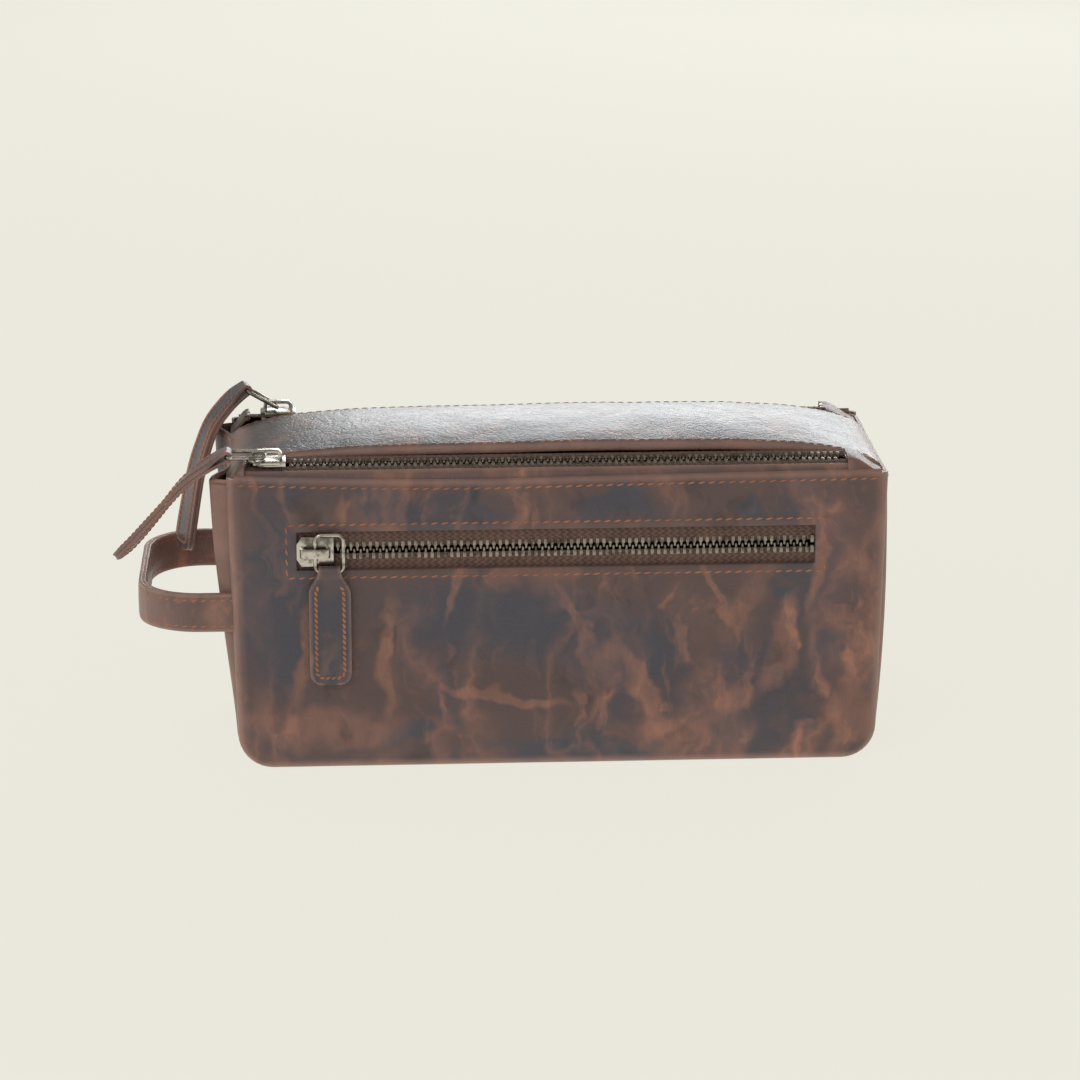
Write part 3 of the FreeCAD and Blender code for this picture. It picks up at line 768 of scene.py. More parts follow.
def panel(name, side, node, hole):
    left, right, low, high = window.values()
    columns = joined(
        spread(-131, -112, 7), spread(-112, left, 3), spread(left, right, 92), spread(right, 112, 3),
        spread(112, 131, 7),
    )
    bend = [14 - 11 * math.cos(math.radians(a)) for a in spread(0, 90, 9)]
    rows = joined(bend, spread(14, low, 32), spread(low, high, 7), spread(high, 120, 10))
    mesh = gridOf(columns, rows, lambda x, z: panelPlace(x, z, side))
    back = Vector((0, -side, 0))
    if hole:
        cutOpening(mesh, window)
    hem, rim, top = [], [], []
    for e in [e for e in mesh.edges if e.is_boundary]:
        middle = (e.verts[0].co + e.verts[1].co) / 2
        if hole and abs(middle.x) < 108 and 82 < middle.z < 103:
            hem.append(e)
        elif middle.z > topEdge(middle.x) - 0.6:
            top.append(e)
        else:
            rim.append(e)
    turn = rolled(bag["roll"], 4, outwardAt, back)
    growEdge(mesh, rim, turn + [lambda co: outwardAt(co) * -0.9 + back * 0.6])
    growEdge(mesh, top, rolled(1.3, 3, lambda co: up, back) + [lambda co: back * 0.6 - up * 1.8])
    if hem:
        # the window's edges are turned in and sewn down
        centre = Vector(((left + right) / 2, 0, (low + high) / 2))
        reach = Vector((105.8, 1, 8.5))

        def inward(co, amount, deep):
            away = Vector(((co.x - centre.x) / reach.x, 0, (co.z - centre.z) / reach.z))
            pull = Vector((-amount * (abs(away.x) > 0.985) * math.copysign(1, away.x), 0,
                           -amount * (abs(away.z) > 0.9) * math.copysign(1, away.z)))
            return pull + back * deep

        growEdge(mesh, hem, [lambda co: inward(co, 0.45, 0.2), lambda co: inward(co, 0.15, 0.9),
                             lambda co: back * 0.9])
    faceOut(mesh, Vector((0, side, 0)))
    makePiece(name, mesh, "leather", "bag", wall=bag["leather"], replaced=[node], wear=edgeWear, angle=60)


panel("frontPanel", -1, "front_panel", True)
panel("backPanel", 1, "back_panel", False)


# the U of leather that runs down one side, under the base and up the other side
def alongU(s):
    # point, outward direction and side of the U at a place along it: -1 and 1 are its top ends
    corner = bag["corner"]
    runs = (107.0, corner * math.pi / 2, 2 * (sideAt(0) - corner))
    total = 2 * runs[0] + 2 * runs[1] + runs[2]
    at = (s + 1) / 2 * total
    sign = -1
    if at > total / 2:
        at, sign = total - at, 1
    if at < runs[0]:
        z = 121.0 - at
        return Vector((sign * sideAt(z), 0, z)), Vector((sign, 0, 0)), sign
    if at < runs[0] + runs[1]:
        angle = (at - runs[0]) / corner
        centre = Vector((sign * (sideAt(14) - corner), 0, corner))
        out = Vector((sign * math.cos(angle), 0, -math.sin(angle)))
        return centre + out * corner, out, sign
    x = sideAt(14) - corner - (at - runs[0] - runs[1])
    return Vector((sign * x, 0, 0)), Vector((0, 0, -1)), sign


def gussetSwell(y, z, sign):
    # the side swells beside its seams and hollows between them
    far = abs(y)
    valley = -1.7 * ease((far - 44.6) / 4.4)
    if z < 1.0:
        return valley
    peak = bag["ridgeLeft"] if sign < 0 else bag["ridgeRight"]
    level = ease(z / 120) ** 0.8 if sign < 0 else math.sin(math.pi * min(z / 118, 1)) * 0.8 + 0.1
    shape = ease((48.8 - far) / 5.0) if far > 43.8 else math.exp(-(((43.8 - far) / 13) ** 2))
    hollow = -1.1 * math.exp(-(((far - 14) / 11) ** 2)) * ease((z - 8) / 30) * (1 - 0.5 * ease((z - 100) / 20))
    return peak * level * shape + hollow + valley + 0.3 * ripple(sign * 130, y, z, 24) * ease((z - 4) / 12)


def gussetPlace(s, y, inset=0.0):
    point, out, sign = alongU(s)
    swell = gussetSwell(y, point.z, sign) - inset
    return point + Vector((0, y, 0)) + out * swell


stations = joined(spread(-1, -0.55, 38), spread(-0.55, -0.42, 16), spread(-0.42, 0.42, 60),
                  spread(0.42, 0.55, 16), spread(0.55, 1, 38))
crossing = joined(spread(-49.6, -43, 10), spread(-43, 43, 34), spread(43, 49.6, 10))
mesh = gridOf(stations, crossing, lambda s, y: gussetPlace(s, y))
ends = [e for e in mesh.edges if e.is_boundary and min(v.co.z for v in e.verts) > 120.5]
growEdge(mesh, ends, [
    lambda co: Vector((-0.5 * math.copysign(1, co.x), 0, 0.7)),
    lambda co: Vector((-1.2 * math.copysign(1, co.x), 0, 0.1)),
    lambda co: Vector((-0.5 * math.copysign(1, co.x), 0, -1.6)),
])
faceDown(mesh)


def gussetWear(co):
    ridge = math.exp(-(((abs(co.y) - 44.5) / 3.5) ** 2)) * 0.85 if co.z > 3 else 0.25
    return min(ridge + 0.5 * ease((co.z - 118) / 3) + 0.5 * ease((10 - abs(co.z - 3)) / 10), 1.0)


makePiece("gussetAndBase", mesh, "sideLeather", "bag", wall=1.5,
          replaced=["left_gusset", "right_gusset", "base_panel"], wear=gussetWear, angle=60)
print("shell made")


# lining, divider, board and pocket
mouth = {"left": -111, "right": 109.4, "low": 79.8, "high": 105.6}    # opening in the front lining


def liningWall(name, side, node, hole):
    left, right, low, high = mouth.values()
    columns = joined(
        spread(-128, -112, 5), spread(-112, left, 1), spread(left, right, 50), spread(right, 128, 6)
    )
    rows = joined(spread(3, low, 26), spread(low, high, 6), spread(high, 118, 5))

    def place(x, z):
        half = outlineHalf(z, 3.2)
        if abs(x) > bag["straight"]:
            x = math.copysign(112 + (abs(x) - 112) / 16 * (half - 112), x)
        fold = 0.10 + 0.10 * ripple(x, side, z, 17)
        return Vector((x, side * (50.25 - fold + bulge(x, z) * 0.4), z))

    mesh = gridOf(columns, rows, place)
    if hole:
        cutOpening(mesh, mouth)
    faceOut(mesh, Vector((0, side, 0)))
    piece = makePiece(name, mesh, "lining", "bag", wall=0.5, replaced=[node])
    if hole:
        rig.sheet(piece, flat=(0.262, 0.115), held="stretched", area=0.262 * 0.115 - 0.2204 * 0.0258,
                 rests_on=["frontPanel"])
    else:
        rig.sheet(piece, flat=(0.262, 0.115), held="stretched", rests_on=["backPanel"])


liningWall("frontLining", -1, "front_lining", True)
liningWall("backLining", 1, "back_lining", False)

columns = joined(spread(-0.985, -0.55, 24), spread(-0.55, -0.42, 8), spread(-0.42, 0.42, 44),
                 spread(0.42, 0.55, 8), spread(0.55, 0.985, 24))
mesh = gridOf(columns, spread(-49.2, 49.2, 40), lambda s, y: gussetPlace(s, y, 1.75))
faceDown(mesh)
piece = makePiece("sideAndBaseLining", mesh, "lining", "bag", wall=0.5, replaced=["side_and_base_lining"])
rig.sheet(piece, flat=(0.485, 0.0984), held="stretched", rests_on=["gussetAndBase"])


divider = {"low": 4.5, "high": 126.6, "fall": 8.4, "half": 131}


def dividerPlace(x, t):
    # cloth over a thin board, falling towards its ends under the top
    high = divider["high"] - divider["fall"] * ease((abs(x) - 108) / 22)
    z = divider["low"] + (high - divider["low"]) * t
    x = x / divider["half"] * outlineHalf(max(z, divider["low"]), 2.6)
    return Vector((x, 0.25 * ripple(x, 0, z, 40) + 0.6, z))


mesh = gridOf(spread(-131, 131, 80), spread(0, 1, 34), dividerPlace)
faceOut(mesh, Vector((0, 1, 0)))
piece = makePiece("dividerCloth", mesh, "lining", "bag", wall=1.2, rounding=0.3,
                  replaced=["compartment_divider"])
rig.sheet(piece, flat=(0.262, 0.123), held="stretched", area=0.262 * 0.121)

pouch = {"left": -112.4, "right": 110.8, "low": 22.2, "high": 107, "deep": 6.0, "front": -49.6}


def pouchPlace(x, z):
    # the pocket's pouch hangs behind the window, open to the front
    soft = ease((112 - abs(x)) / 6) * ease((z - 22) / 6) * ease((107 - z) / 5)
    deep = pouch["deep"] * soft * (0.86 + 0.1 * ripple(x, 5, z, 22))
    return Vector((x, pouch["front"] + deep, z))


columns = joined(spread(pouch["left"], -104, 8), spread(-104, 102, 50), spread(102, pouch["right"], 8))
rows = joined(spread(pouch["low"], 30, 8), spread(30, 101, 20), spread(101, pouch["high"], 6))
mesh = gridOf(columns, rows, pouchPlace)
faceOut(mesh, Vector((0, 1, 0)))
piece = makePiece("pocketPouch", mesh, "lining", "bag", wall=0.5,
                  replaced=["pocket_back_sheet", "pocket_side_walls"])
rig.sheet(piece, flat=(0.232, 0.094), held="hung", rests_on=["frontLining"])
board = frame["nodes"]["base_stiffener_board"].data
board.materials.clear()
board.materials.append(finishes["board"])
print("inside made")


# top: edge strips, zip ends and the centre panel
strip = {"outer": 50.6, "lean": 3.4, "top": 125.3, "start": -128, "end": 120}


def stripPlace(x, t, side):
    # a narrow leather strip rises from the front's top edge to the zip
    y = strip["outer"] - strip["lean"] * t
    z = topEdge(x) - 0.4 + (strip["top"] - topEdge(x) + 0.4) * math.sin(t * math.pi / 2) ** 0.9
    z += 0.25 * ripple(x, y, 0, 26) * t
    return Vector((x, side * y, z))


def edgeStrip(name, side, node):
    along = spread(strip["start"], strip["end"], 100)
    mesh = gridOf(along, spread(0, 1, 8), lambda x, t: stripPlace(x, t, side))
    top = [e for e in mesh.edges if e.is_boundary and min(v.co.z for v in e.verts) > 124.6
           and abs(e.verts[0].co.x - e.verts[1].co.x) > 0.5]
    inner = Vector((0, -side, 0))
    growEdge(mesh, top, [lambda co: inner * 0.5 - up * 0.1, lambda co: inner * 0.2 - up * 0.5])
    faceOut(mesh, Vector((0, side, 1)))
    makePiece(name, mesh, "leather", "bag", wall=0.9, replaced=[node],
              wear=lambda co: 0.25 + 0.6 * ease((co.z - 123.9) / 1.4), angle=60)


edgeStrip("frontEdgeStrip", -1, "front_edge_strip")
edgeStrip("rearEdgeStrip", 1, "rear_edge_strip")

dome = {"edge": 9.6, "crown": 2.4, "base": 121.6, "ends": 7, "halfWidth": 34.2}


def domeAt(x, y):
    across = min(abs(y) / dome["halfWidth"], 1.0)
    rise = dome["edge"] + dome["crown"] * (1 - across ** 2)
    rise += 0.9 * math.exp(-(((x - 30) / 60) ** 2)) - 0.5 * math.exp(-(((x + 100) / 24) ** 2))
    fall = abs(x / 134) ** dome["ends"]
    wave = 0.30 * ripple(x, y, 0, 30, 1.7) + 0.12 * ripple(x, y, 0, 11, 4.2)
    return dome["base"] + (rise + wave) * (1 - min(fall, 1.0)) - 1.0 * ease((abs(x) - 130) / 4)


# across the panel: distance from the middle and drop below its surface, ending in a rolled edge
rib = [(d, 0.0) for d in spread(0, 32.0, 20)] + [
    (33.0, 0.15), (33.7, 0.5), (34.15, 1.1), (34.25, 2.0), (34.2, 2.9), (33.9, 3.6), (33.0, 4.0), (31.5, 4.1),
]
mitre = {"left": (-108.0, -80.0), "right": (96.0, 70.0)}


def cutAt(mesh, key, side, keepMiddle):
    # a slanting cut where the panel's two bends agree
    a, b = mitre[key]
    run = Vector((b - a, side * dome["halfWidth"], 0))
    normal = Vector((run.y, -run.x, 0)).normalized()
    if (normal.x > 0) != (key == "right"):
        normal = -normal
    geometry = list(mesh.verts) + list(mesh.edges) + list(mesh.faces)
    bmesh.ops.bisect_plane(
        mesh, geom=geometry, dist=0.0001, plane_co=(a, 0, 0), plane_no=normal,
        clear_outer=keepMiddle, clear_inner=not keepMiddle,
    )


def topWear(co):
    return min(1.0, 0.9 * ease((abs(co.y) - 31.5) / 2.4) + 0.8 * ease((abs(co.x) - 122) / 9))


def bendAlongX(piece, lid, key):
    # fixed to the bag at the panel's end, and to the lid past the bend
    a, b = mitre[key]
    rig.blend(piece, "bag", lid, start=(a * 0.001, 0, 0.13), end=(b * 0.001, 0, 0.13))


def topSheet(name, side, start, end, cuts, node):
    mesh = gridOf(spread(start, end, max(6, round((end - start) / 2.0))), list(range(len(rib))),
                  lambda x, i: Vector((x, side * rib[i][0], domeAt(x, rib[i][0]) - rib[i][1])))
    for key, keepMiddle in cuts:
        cutAt(mesh, key, side, keepMiddle)
    faceOut(mesh, up)
    return makePiece(name, mesh, "topLeather", wall=1.2, angle=55, replaced=[node], wear=topWear)


def topHalf(label, side, node):
    lid = label.lower() + "_lid"

    def bendAcross(piece):
        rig.blend(piece, "bag", lid, start=(0, 0, 0.13), end=(0, side * dome["halfWidth"] * 0.001, 0.13))

    name = "topPanel" + label
    left = topSheet(name + "Left", side, -134.4, -79, [("left", False)], "centre_panel_left_end")
    bendAlongX(left, lid, "left")
    right = topSheet(name + "Right", side, 69, 134.4, [("right", False)], "centre_panel_right_end")
    bendAlongX(right, lid, "right")
    bendAcross(topSheet(name + "Middle", side, -109, 97, [("left", True), ("right", True)], node))
    # seam along the panel's edge, in the same three stretches
    for part, keep in (("Left", lambda p: p.x < -82), ("Middle", lambda p: -82 <= p.x <= 72),
                       ("Right", lambda p: p.x > 72)):
        seam = bmesh.new()
        route = [Vector((x, side * 31.4, domeAt(x, 31.4))) for x in spread(-129, 129, 120)]
        stitchAlong(seam, route, up, keep=keep, pitch=3.9)
        piece = makePiece("topPanelSeam" + label + part, seam, "thread")
        if part == "Middle":
            bendAcross(piece)
        else:
            bendAlongX(piece, lid, part.lower())


topHalf("Front", -1, "centre_panel_front_half")
topHalf("Rear", 1, "centre_panel_rear_half")


cover = {"outer": 134.4, "seam": 51.4, "width": 17.6, "high": 127.4, "low": 120.3}


def endCover(name, sign, inner, node):
    # soft leather corners that close the zips' ends and slope to the side
    mesh = bmesh.new()
    for side in (-1, 1):
        def place(t, v, side=side):
            reach = sign * (cover["outer"] - 1.3 * ease((0.22 - v) / 0.22))
            x = inner + (reach - inner) * t
            y = side * (cover["seam"] - cover["width"] * v)
            drop = 1.5 * ease(v / 0.6) if side > 0 else 0.3
            high = cover["high"] + 1.2 * v + 0.8 * math.sin(v * math.pi) - drop
            low = cover["low"] + 0.5 * math.sin(v * math.pi)
            z = high + (low - high) * ease(t) ** 1.2 - 4.6 * ease((0.16 - v) / 0.16) * (1 - t * 0.8)
            return Vector((x, y, z + 0.3 * ripple(x, y, z, 7)))

        half = gridOf(spread(0, 1, 12), spread(0, 1, 16), place)
        faceOut(half, up)
        data = bpy.data.meshes.new("half")
        half.to_mesh(data)
        half.free()
        mesh.from_mesh(data)
        bpy.data.meshes.remove(data)
    makePiece(name, mesh, "sideLeather", "bag", wall=1.2, replaced=[node], rounding=0.3,
              wear=lambda co: 0.35 + 0.3 * ripple(co.x, co.y, co.z, 5), angle=60)


endCover("zipEndCoversLeft", -1, -126.5, "zip_end_covers_left")
endCover("zipEndCoversRight", 1, 117.5, "zip_end_covers_right")
print("top made")


# zips: local u runs along the chain, v across it and w out of the tape
zipPlace = {
    "pocket": Matrix(((1, 0, 0, 0), (0, 0, -1, -50.05), (0, 1, 0, 92.7), (0, 0, 0, 1))),
    "front": Matrix.Translation((0, -41.1, 126)) @ Matrix.Rotation(math.radians(13), 4, "X"),
    "rear": Matrix.Translation((0, 41.1, 126)) @ Matrix.Rotation(math.radians(-13), 4, "X"),
}
chain = {"pitch": 2.63, "tooth": 1.62, "thick": 2.2, "near": 0.4, "far": 1.715}
topZip = {"tapeStart": -128, "tapeEnd": 119, "split": -8, "teethStart": -109, "teethEnd": 116.5}


def teethCount(first, end):
    return int((end - first - chain["tooth"]) / chain["pitch"]) + 1


def teethRow(name, where, start, end, phase, across, nodes, body=None):
    # one tooth, rounded and repeated along the chain
    first = start + phase
    count = teethCount(first, end)
    mesh = bmesh.new()
    middle = first + chain["tooth"] / 2
    box(mesh, (middle, -across * 2.45, 0), (chain["tooth"], 2.6, chain["thick"]), 0.42, 2)
    box(mesh, (middle, -across * 0.5, 0), (chain["tooth"] * 0.62, 1.84, chain["thick"] * 0.72), 0.24, 1)
    bmesh.ops.transform(mesh, matrix=zipPlace[where], verts=mesh.verts)
    bmesh.ops.recalc_face_normals(mesh, faces=mesh.faces)
    return makePiece(name, mesh, "teeth", body, repeat=(count, (chain["pitch"], 0, 0)), replaced=nodes)


tapeProfile = [(1.6, 0.0), (2.9, 0.0), (3.6, 0.30), (4.3, 0.42), (4.9, 0.14), (5.6, 0.0)]


def tape(name, where, start, end, reach, across, nodes, body=None):
    # woven tape with a corded edge beside the teeth
    profile = tapeProfile + [(v, 0.0) for v in spread(5.6, reach, 4)[1:]]
    mesh = gridOf(spread(start, end, max(4, round((end - start) / 3))), list(range(len(profile))),
                  lambda u, i: Vector((u, -across * profile[i][0],
                                       profile[i][1] + 0.35 + 0.08 * ripple(u, profile[i][0], 0, 9))))
    bmesh.ops.transform(mesh, matrix=zipPlace[where], verts=mesh.verts)
    faceOut(mesh, zipPlace[where].to_3x3() @ up)
    return makePiece(name, mesh, "tape", body, wall=0.7, replaced=nodes)


for label, across, phase in (("Upper", -1, chain["near"]), ("Lower", 1, chain["far"])):
    node = "pocket_zip_" + label.lower()
    tape("pocketTape" + label, "pocket", -110.4, 108.8, 12.4, across, [node + "_tape"], "bag")
    teethRow("pocketTeeth" + label, "pocket", -90.7, 102.4, phase, across, [node + "_teeth"], "bag")
for label, outer in (("front", 1), ("rear", -1)):
    start, end, split = topZip["tapeStart"], topZip["tapeEnd"], topZip["split"]
    first, last = topZip["teethStart"], topZip["teethEnd"]
    node, lid = label + "_zip_", label + "_lid"
    tape(label + "TapeOuter", label, start, end, 6.9, outer, [node + "outer_tape"], "bag")
    teethRow(label + "TeethOuter", label, first, last, chain["near"], outer, [node + "outer_teeth"], "bag")
    # the lid's side of the zip is made in two, one for each bend
    passed = chain["far"] + chain["pitch"] * teethCount(first + chain["far"], split)
    left = [
        tape(label + "TapeLidLeft", label, start, split, 6.6, -outer, [node + "tape_ends"]),
        teethRow(label + "TeethLidLeft", label, first, split, chain["far"], -outer, [node + "lid_teeth"]),
    ]
    right = [
        tape(label + "TapeLidRight", label, split, end, 6.6, -outer, [node + "lid_tape"]),
        teethRow(label + "TeethLidRight", label, first, last, passed, -outer, []),
    ]
    for piece in left:
        bendAlongX(piece, lid, "left")
    for piece in right:
        bendAlongX(piece, lid, "right")


def softened(name, node, finish, body, edge):
    # the metal parts keep their exact shape and get smooth, rounded edges
    mesh = bmesh.new()
    mesh.from_mesh(frame["nodes"][node].data)
    bmesh.ops.transform(mesh, matrix=Matrix.Scale(1000, 4), verts=mesh.verts)
    bmesh.ops.remove_doubles(mesh, verts=mesh.verts, dist=0.002)
    if edge:
        bmesh.ops.dissolve_limit(mesh, angle_limit=math.radians(1.5), verts=mesh.verts, edges=mesh.edges)
        mesh.normal_update()
        sharp = [e for e in mesh.edges if len(e.link_faces) == 2 and e.calc_face_angle(0) > math.radians(28)]
        bmesh.ops.bevel(mesh, geom=sharp, offset=edge, segments=2, affect="EDGES", profile=0.5, material=-1,
                        clamp_overlap=True)
    return makePiece(name, mesh, finish, body, replaced=[node], angle=40)


for label in ("pocket", "front", "rear"):
    softened(label + "Slider", label + "_slider", "nickel", label + "_slider_body", 0.35)
    softened(label + "PullRing", label + "_pull_ring", "nickel", label + "_ring", 0)
softened("pocketZipStop", "pocket_zip_end_stop", "teeth", "bag", 0.2)
softened("frontZipStops", "front_zip_end_stops", "teeth", "bag", 0.2)
softened("rearZipStops", "rear_zip_end_stops", "teeth", "bag", 0.2)
print("zips made")


# pull tabs: one strip of leather folded round the ring's bar and sewn to itself
tabs = {
    "pocket": {"at": (-93.0, -54.65, 84.7), "length": 47.5, "twist": 0},
    "front": {
        "at": (-133.9, -41.1, 130.6), "length": 62, "twist": 15, "heading": (-1, 0, 0),
        "droop": [(0, 24), (10, 34), (28, 50), (45, 49), (62, 43)],
    },
    "rear": {
        "at": (-127.775, 38.385, 138.761), "length": 76, "twist": -10,
        "heading": (-math.cos(math.radians(12)), -math.sin(math.radians(12)), 0),
        "droop": [(0, 32), (12, 48), (28, 70), (50, 79), (76, 81)],
    },
}


def bentAt(stops, s):
    for (a, first), (b, second) in zip(stops, stops[1:]):
        if s <= b:
            return first + (second - first) * ease((s - a) / (b - a))
    return stops[-1][1]


def tabFrames(tab):
    # middle line of a tab, one frame each half millimetre: place, along, up
    if "droop" not in tab:
        return [(Vector(tab["at"]) - up * s * 0.5, -up, front) for s in range(int(tab["length"] * 2) + 2)]
    heading, point, frames = Vector(tab["heading"]), Vector(tab["at"]), []
    for i in range(int(tab["length"] * 2) + 2):
        s = i * 0.5
        droop = math.radians(bentAt(tab["droop"], s))
        along = heading * math.cos(droop) - up * math.sin(droop)
        lift = heading * math.sin(droop) + up * math.cos(droop)
        turn = Matrix.Rotation(math.radians(tab["twist"] * ease(s / tab["length"])), 3, along)
        frames.append((point.copy(), along, turn @ lift))
        point = point + along * 0.5
    return frames


fold = {"bar": 1.72, "turn": 66, "half": 4.4}    # how the strip goes round the ring's bar


def tabHalfWidth(s, length):
    wide = 4.4 + 4.1 * ease((s + 0.6) / 9.5)
    left = length - s
    return wide if left > 5 else wide - 5 + math.sqrt(max(25 - (5 - left) ** 2, 0)) * 0.999


def pullTab(label, body, squashWith=None):
    tab = tabs[label]
    frames, length = tabFrames(tab), tab["length"]

    def at(s, across, height):
        half = max(s, 0) * 2
        point, along, lift = frames[min(round(half), len(frames) - 1)]
        return point + along * ((half - round(half)) * 0.5) + lift.cross(along) * across + lift * height

    # strip stations run from the back layer's tip round the bar to the front layer's tip
    run = joined([length - 0.01, length - 0.5, length - 1.5, length - 3, length - 5],
                 spread(length - 5, 12, 16), spread(12, 2, 10))
    bends = [("fold", a) for a in spread(-fold["turn"], fold["turn"], 10)]
    layers = [("back", s) for s in run] + bends + [("front", s) for s in reversed(run)]

    def place(t, index):
        part, value = layers[index]
        if part == "fold":
            angle = math.radians(value) * 1.1
            point, along, lift = frames[0]
            centre = point + lift.cross(along) * (t * fold["half"])
            return centre - along * (fold["bar"] * math.cos(angle)) + lift * (fold["bar"] * math.sin(angle))
        flare = 0.72 + 0.85 * ease((9 - value) / 8)
        crown = 0.22 * (1 - t * t)
        height = (flare + crown) * (1 if part == "front" else -1)
        return at(value, t * tabHalfWidth(value, length), height)

    mesh = gridOf(spread(-1, 1, 10), list(range(len(layers))), place)
    agree(mesh)
    # both layers look away from the tab's middle: turn the faces if they look into it
    point, along, lift = frames[20]
    score = 0
    for f in mesh.faces:
        off = f.calc_center_median() - point
        if off.length < 6:
            score += f.normal.dot(lift) * math.copysign(1, off.dot(lift))
    if score < 0:
        bmesh.ops.reverse_faces(mesh, faces=mesh.faces)

    def worn(co):
        best = min(range(0, len(frames), 4), key=lambda i: (frames[i][0] - co).length)
        point, along, lift = frames[best]
        off = abs((co - point).dot(lift.cross(along)))
        s = best * 0.5
        return 0.9 * ease((off - tabHalfWidth(s, length) + 1.3) / 1.2) + 0.35 * ease((5 - s) / 5)

    leather = makePiece(label + "PullTab", mesh, "tabLeather", wall=1.38, offset=0.0, rounding=0.35, wear=worn,
                        replaced=[label + "_pull_tab_face", label + "_pull_tab_back"], angle=50)
    seam = bmesh.new()

    def seamLevel(s):
        return 1.53 + 0.85 * ease((9 - s) / 8)

    def seamPoint(s, side, face):
        return at(s, side * (tabHalfWidth(s, length) - 2.9), face * seamLevel(s))

    def endPoint(turn, side, face):
        angle = math.radians(turn)
        return at(length - 6 + 3.0 * math.sin(angle), side * (2.6 + 3.0 * math.cos(angle)), face * 1.5)

    for face in (1, -1):
        # up one edge of the tab, round its end and back down the other
        route = [seamPoint(s, 1, face) for s in spread(5.5, length - 6, 40)]
        route += [endPoint(turn, 1, face) for turn in spread(0, 90, 6)[1:]]
        route += [endPoint(turn, -1, face) for turn in spread(90, 0, 6)]
        route += [seamPoint(s, -1, face) for s in spread(length - 6, 5.5, 40)[1:]]

        def lookout(p, face=face):
            best = min(range(0, len(frames), 3), key=lambda i: (frames[i][0] - p).length)
            return frames[best][2] * face

        stitchAlong(seam, route, lookout, pitch=2.3, length=2.7, thick=1.3, lean=26 * face, sink=0.05)
    thread = makePiece(label + "PullTabSeam", seam, "thread")
    for piece in (leather, thread):
        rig.ride(piece, body)
        if squashWith:
            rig.squash(piece, squashWith[0], axis=(0, 0, 1), anchor=(0, 0, squashWith[1]), keep=0.06)


pullTab("pocket", "pocket_tab")
pullTab("front", "front_tab", ("front_slide", 0.1345))
pullTab("rear", "rear_tab", ("rear_slide", 0.139))
print("pull tabs made")


# carry loop: two layers sewn together and caught in the side seams
loop = {"start": -129.0, "y": 48.2, "out": 170.0, "corner": 24.0, "z": 66.5, "half": 8.0}


def loopAt(s):
    # point on the loop's middle line and the way out of it
    straight = loop["out"] - loop["corner"] + loop["start"]
    arc = loop["corner"] * math.pi / 2
    across = 2 * (loop["y"] - loop["corner"])
    total = 2 * straight + 2 * arc + across
    at, side = s * total, -1
    if at > total / 2:
        at, side = total - at, 1
    if at < straight:
        return Vector((loop["start"] - at, side * loop["y"], 0)), Vector((0, side, 0))
    if at < straight + arc:
        angle = (at - straight) / loop["corner"]
        centre = Vector((-(loop["out"] - loop["corner"]), side * (loop["y"] - loop["corner"]), 0))
        out = Vector((-math.sin(angle), side * math.cos(angle), 0))
        return centre + out * loop["corner"], out
    y = loop["y"] - loop["corner"] - (at - straight - arc)
    return Vector((-loop["out"], side * y, 0)), Vector((-1, 0, 0))


def loopPlace(s, t, away, crown):
    point, out = loopAt(s)
    level = loop["z"] + t * loop["half"] + 0.5 * ripple(point.x, point.y, 0, 40)
    return point + up * level + out * (away - crown * t * t + 0.1 * ripple(point.x, point.y, level, 9))


def loopWear(co):
    return 0.25 + 0.7 * ease((abs(co.z - loop["z"]) - 6.2) / 1.8) + 0.35 * ease((-150 - co.x) / 18)


def bendLoop(piece):
    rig.blend(piece, "bag", "handle", start=(-0.134, 0, 0.0665), end=(-0.152, 0, 0.0665))


for name, away, crown, nodes in (
    ("loopOuter", 1.8, 0.35, ["handle_outer_layer", "handle_front_root", "handle_rear_root"]),
    ("loopInner", -1.8, -0.3, ["handle_inner_layer"]),
):
    mesh = gridOf(spread(0, 1, 120), spread(-1, 1, 10), lambda s, t: loopPlace(s, t, away, crown))
    agree(mesh)
    face = min(mesh.faces, key=lambda f: f.calc_center_median().x)
    if (face.normal.x < 0) != (away > 0):
        bmesh.ops.reverse_faces(mesh, faces=mesh.faces)
    bendLoop(makePiece(name, mesh, "loopLeather", wall=1.75, rounding=0.45, replaced=nodes, wear=loopWear,
                       angle=50))
seam = bmesh.new()
for level in (-0.68, 0.68):
    for away, face in ((1.72, 1), (-1.74, -1)):
        route = [loopPlace(s, level, away - 0.15 * face, 0) for s in spread(0.01, 0.99, 130)]

        def outOf(p, face=face):
            best = min(spread(0, 1, 60), key=lambda s: (loopAt(s)[0] - Vector((p.x, p.y, 0))).length)
            return loopAt(best)[1] * face

        stitchAlong(seam, route, outOf, pitch=3.9, length=3.1, thick=0.9, lean=14)
bendLoop(makePiece("loopSeams", seam, "thread"))
print("carry loop made")


# seams on the shell
seam = bmesh.new()
for side in (-1, 1):
    route = []
    for x in spread(-130, 130, 130):
        route.append(Vector((x, side * (52 + bulge(x, topEdge(x) - 2.6)), topEdge(x) - 2.4)))
    stitchAlong(seam, route, Vector((0, side, 0)), lean=13 * -side)
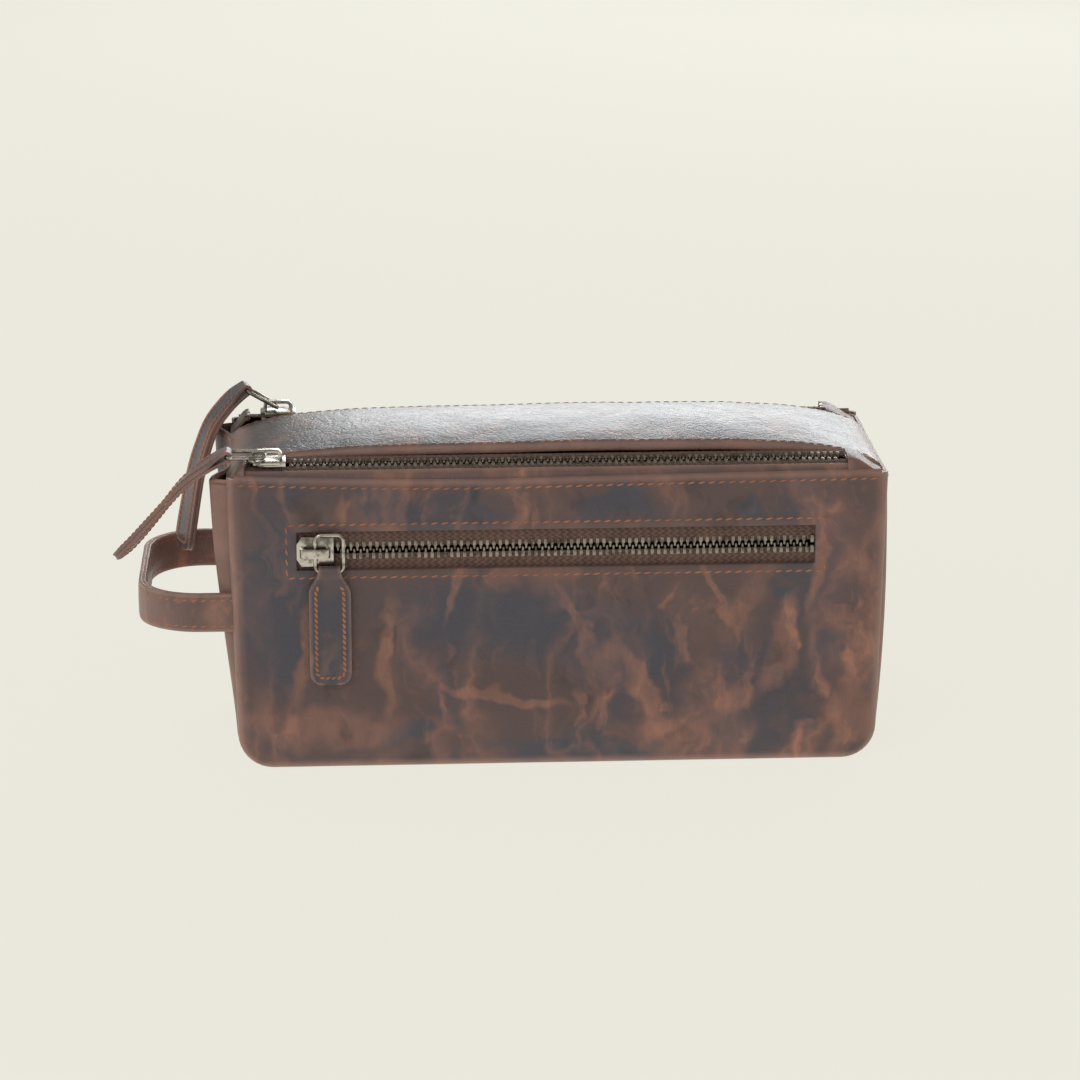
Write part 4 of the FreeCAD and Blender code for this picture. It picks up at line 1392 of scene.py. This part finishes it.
# the window's own seam, from corner to corner
corners = [(-110.2, 81.6), (-110.2, 103.8), (108.2, 103.8), (108.2, 81.6)]
for (x0, z0), (x1, z1) in zip(corners, corners[1:] + corners[:1]):
    route = [Vector((x0 + (x1 - x0) * t, 0, z0 + (z1 - z0) * t)) for t in spread(0, 1, 60)]
    for p in route:
        p.y = -52 - bulge(p.x, p.z)
    stitchAlong(seam, route, front)
for sign in (-1, 1):
    route = [gussetPlace(-0.992 if sign < 0 else 0.992, y) for y in spread(-46, 46, 60)]
    stitchAlong(seam, route, Vector((sign, 0, 0)))
makePiece("shellSeams", seam, "thread", "bag")
print("seams made")

# floor, light and camera
view = {
    "target": (-0.0077, -0.052, 0.0961),
    "azimuth": -3.1,
    "elevation": 16.0,
    "distance": 1.55,
    "width": 0.4374,    # of what is seen at the target
}
elevation, azimuth = math.radians(view["elevation"]), math.radians(view["azimuth"])
level = math.cos(elevation)
away = Vector((math.sin(azimuth) * level, -math.cos(azimuth) * level, math.sin(elevation)))
lens = bpy.data.cameras.new("camera")
lens.sensor_width = 36
lens.lens = 36 * view["distance"] / view["width"]
lens.clip_start, lens.clip_end = 0.02, 60
camera = bpy.data.objects.new("camera", lens)
camera.location = Vector(view["target"]) + away * view["distance"]
camera.rotation_euler = (-away).to_track_quat("-Z", "Y").to_euler()
scene.collection.objects.link(camera)
scene.camera = camera

paleTone = rgb(237, 235, 224)
mesh = bmesh.new()
bmesh.ops.create_circle(mesh, cap_ends=True, segments=96, radius=9)
data = bpy.data.meshes.new("floor")
mesh.to_mesh(data)
mesh.free()
floor = bpy.data.objects.new("floor", data)
scene.collection.objects.link(floor)
floor.location.z = -0.0005
data.materials.append(setShader(newFinish("paleFloor"), {
    "Base Color": rgb(78, 77, 74), "Roughness": 0.95, "Emission Color": paleTone, "Emission Strength": 0.925,
    "Specular IOR Level": 0.0,
}))
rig.stage(floor)

world = bpy.data.worlds.new("studio")
scene.world = world
world.use_nodes = True
sky = world.node_tree.nodes["Background"].inputs
sky["Color"].default_value = paleTone
sky["Strength"].default_value = 0.42

lights = {
    "key": {"at": (-0.9, -1.5, 1.5), "size": (1.1, 1.1), "watts": 8, "tone": (1, 0.98, 0.95)},
    "back": {"at": (0.69, 2.1, 0.72), "size": (1.84, 0.9), "watts": 20, "tone": (0.95, 0.98, 1)},
    "side": {"at": (-1.5, -0.1, 0.6), "size": (0.6, 0.9), "watts": 2.5, "tone": (0.93, 0.97, 1)},
}
for name, lamp in lights.items():
    data = bpy.data.lights.new(name, "AREA")
    data.shape = "RECTANGLE"
    data.size, data.size_y = lamp["size"]
    data.energy = lamp["watts"]
    data.color = lamp["tone"]
    made = bpy.data.objects.new(name, data)
    made.location = lamp["at"]
    made.rotation_euler = (Vector((0, 0, 0.07)) - Vector(lamp["at"])).to_track_quat("-Z", "Y").to_euler()
    scene.collection.objects.link(made)

with open("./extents.json", "w") as sizes:
    json.dump({"cad": cadBounds, "visual": [list(corner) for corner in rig.bounds()]}, sizes,
              default=lambda v: list(v))
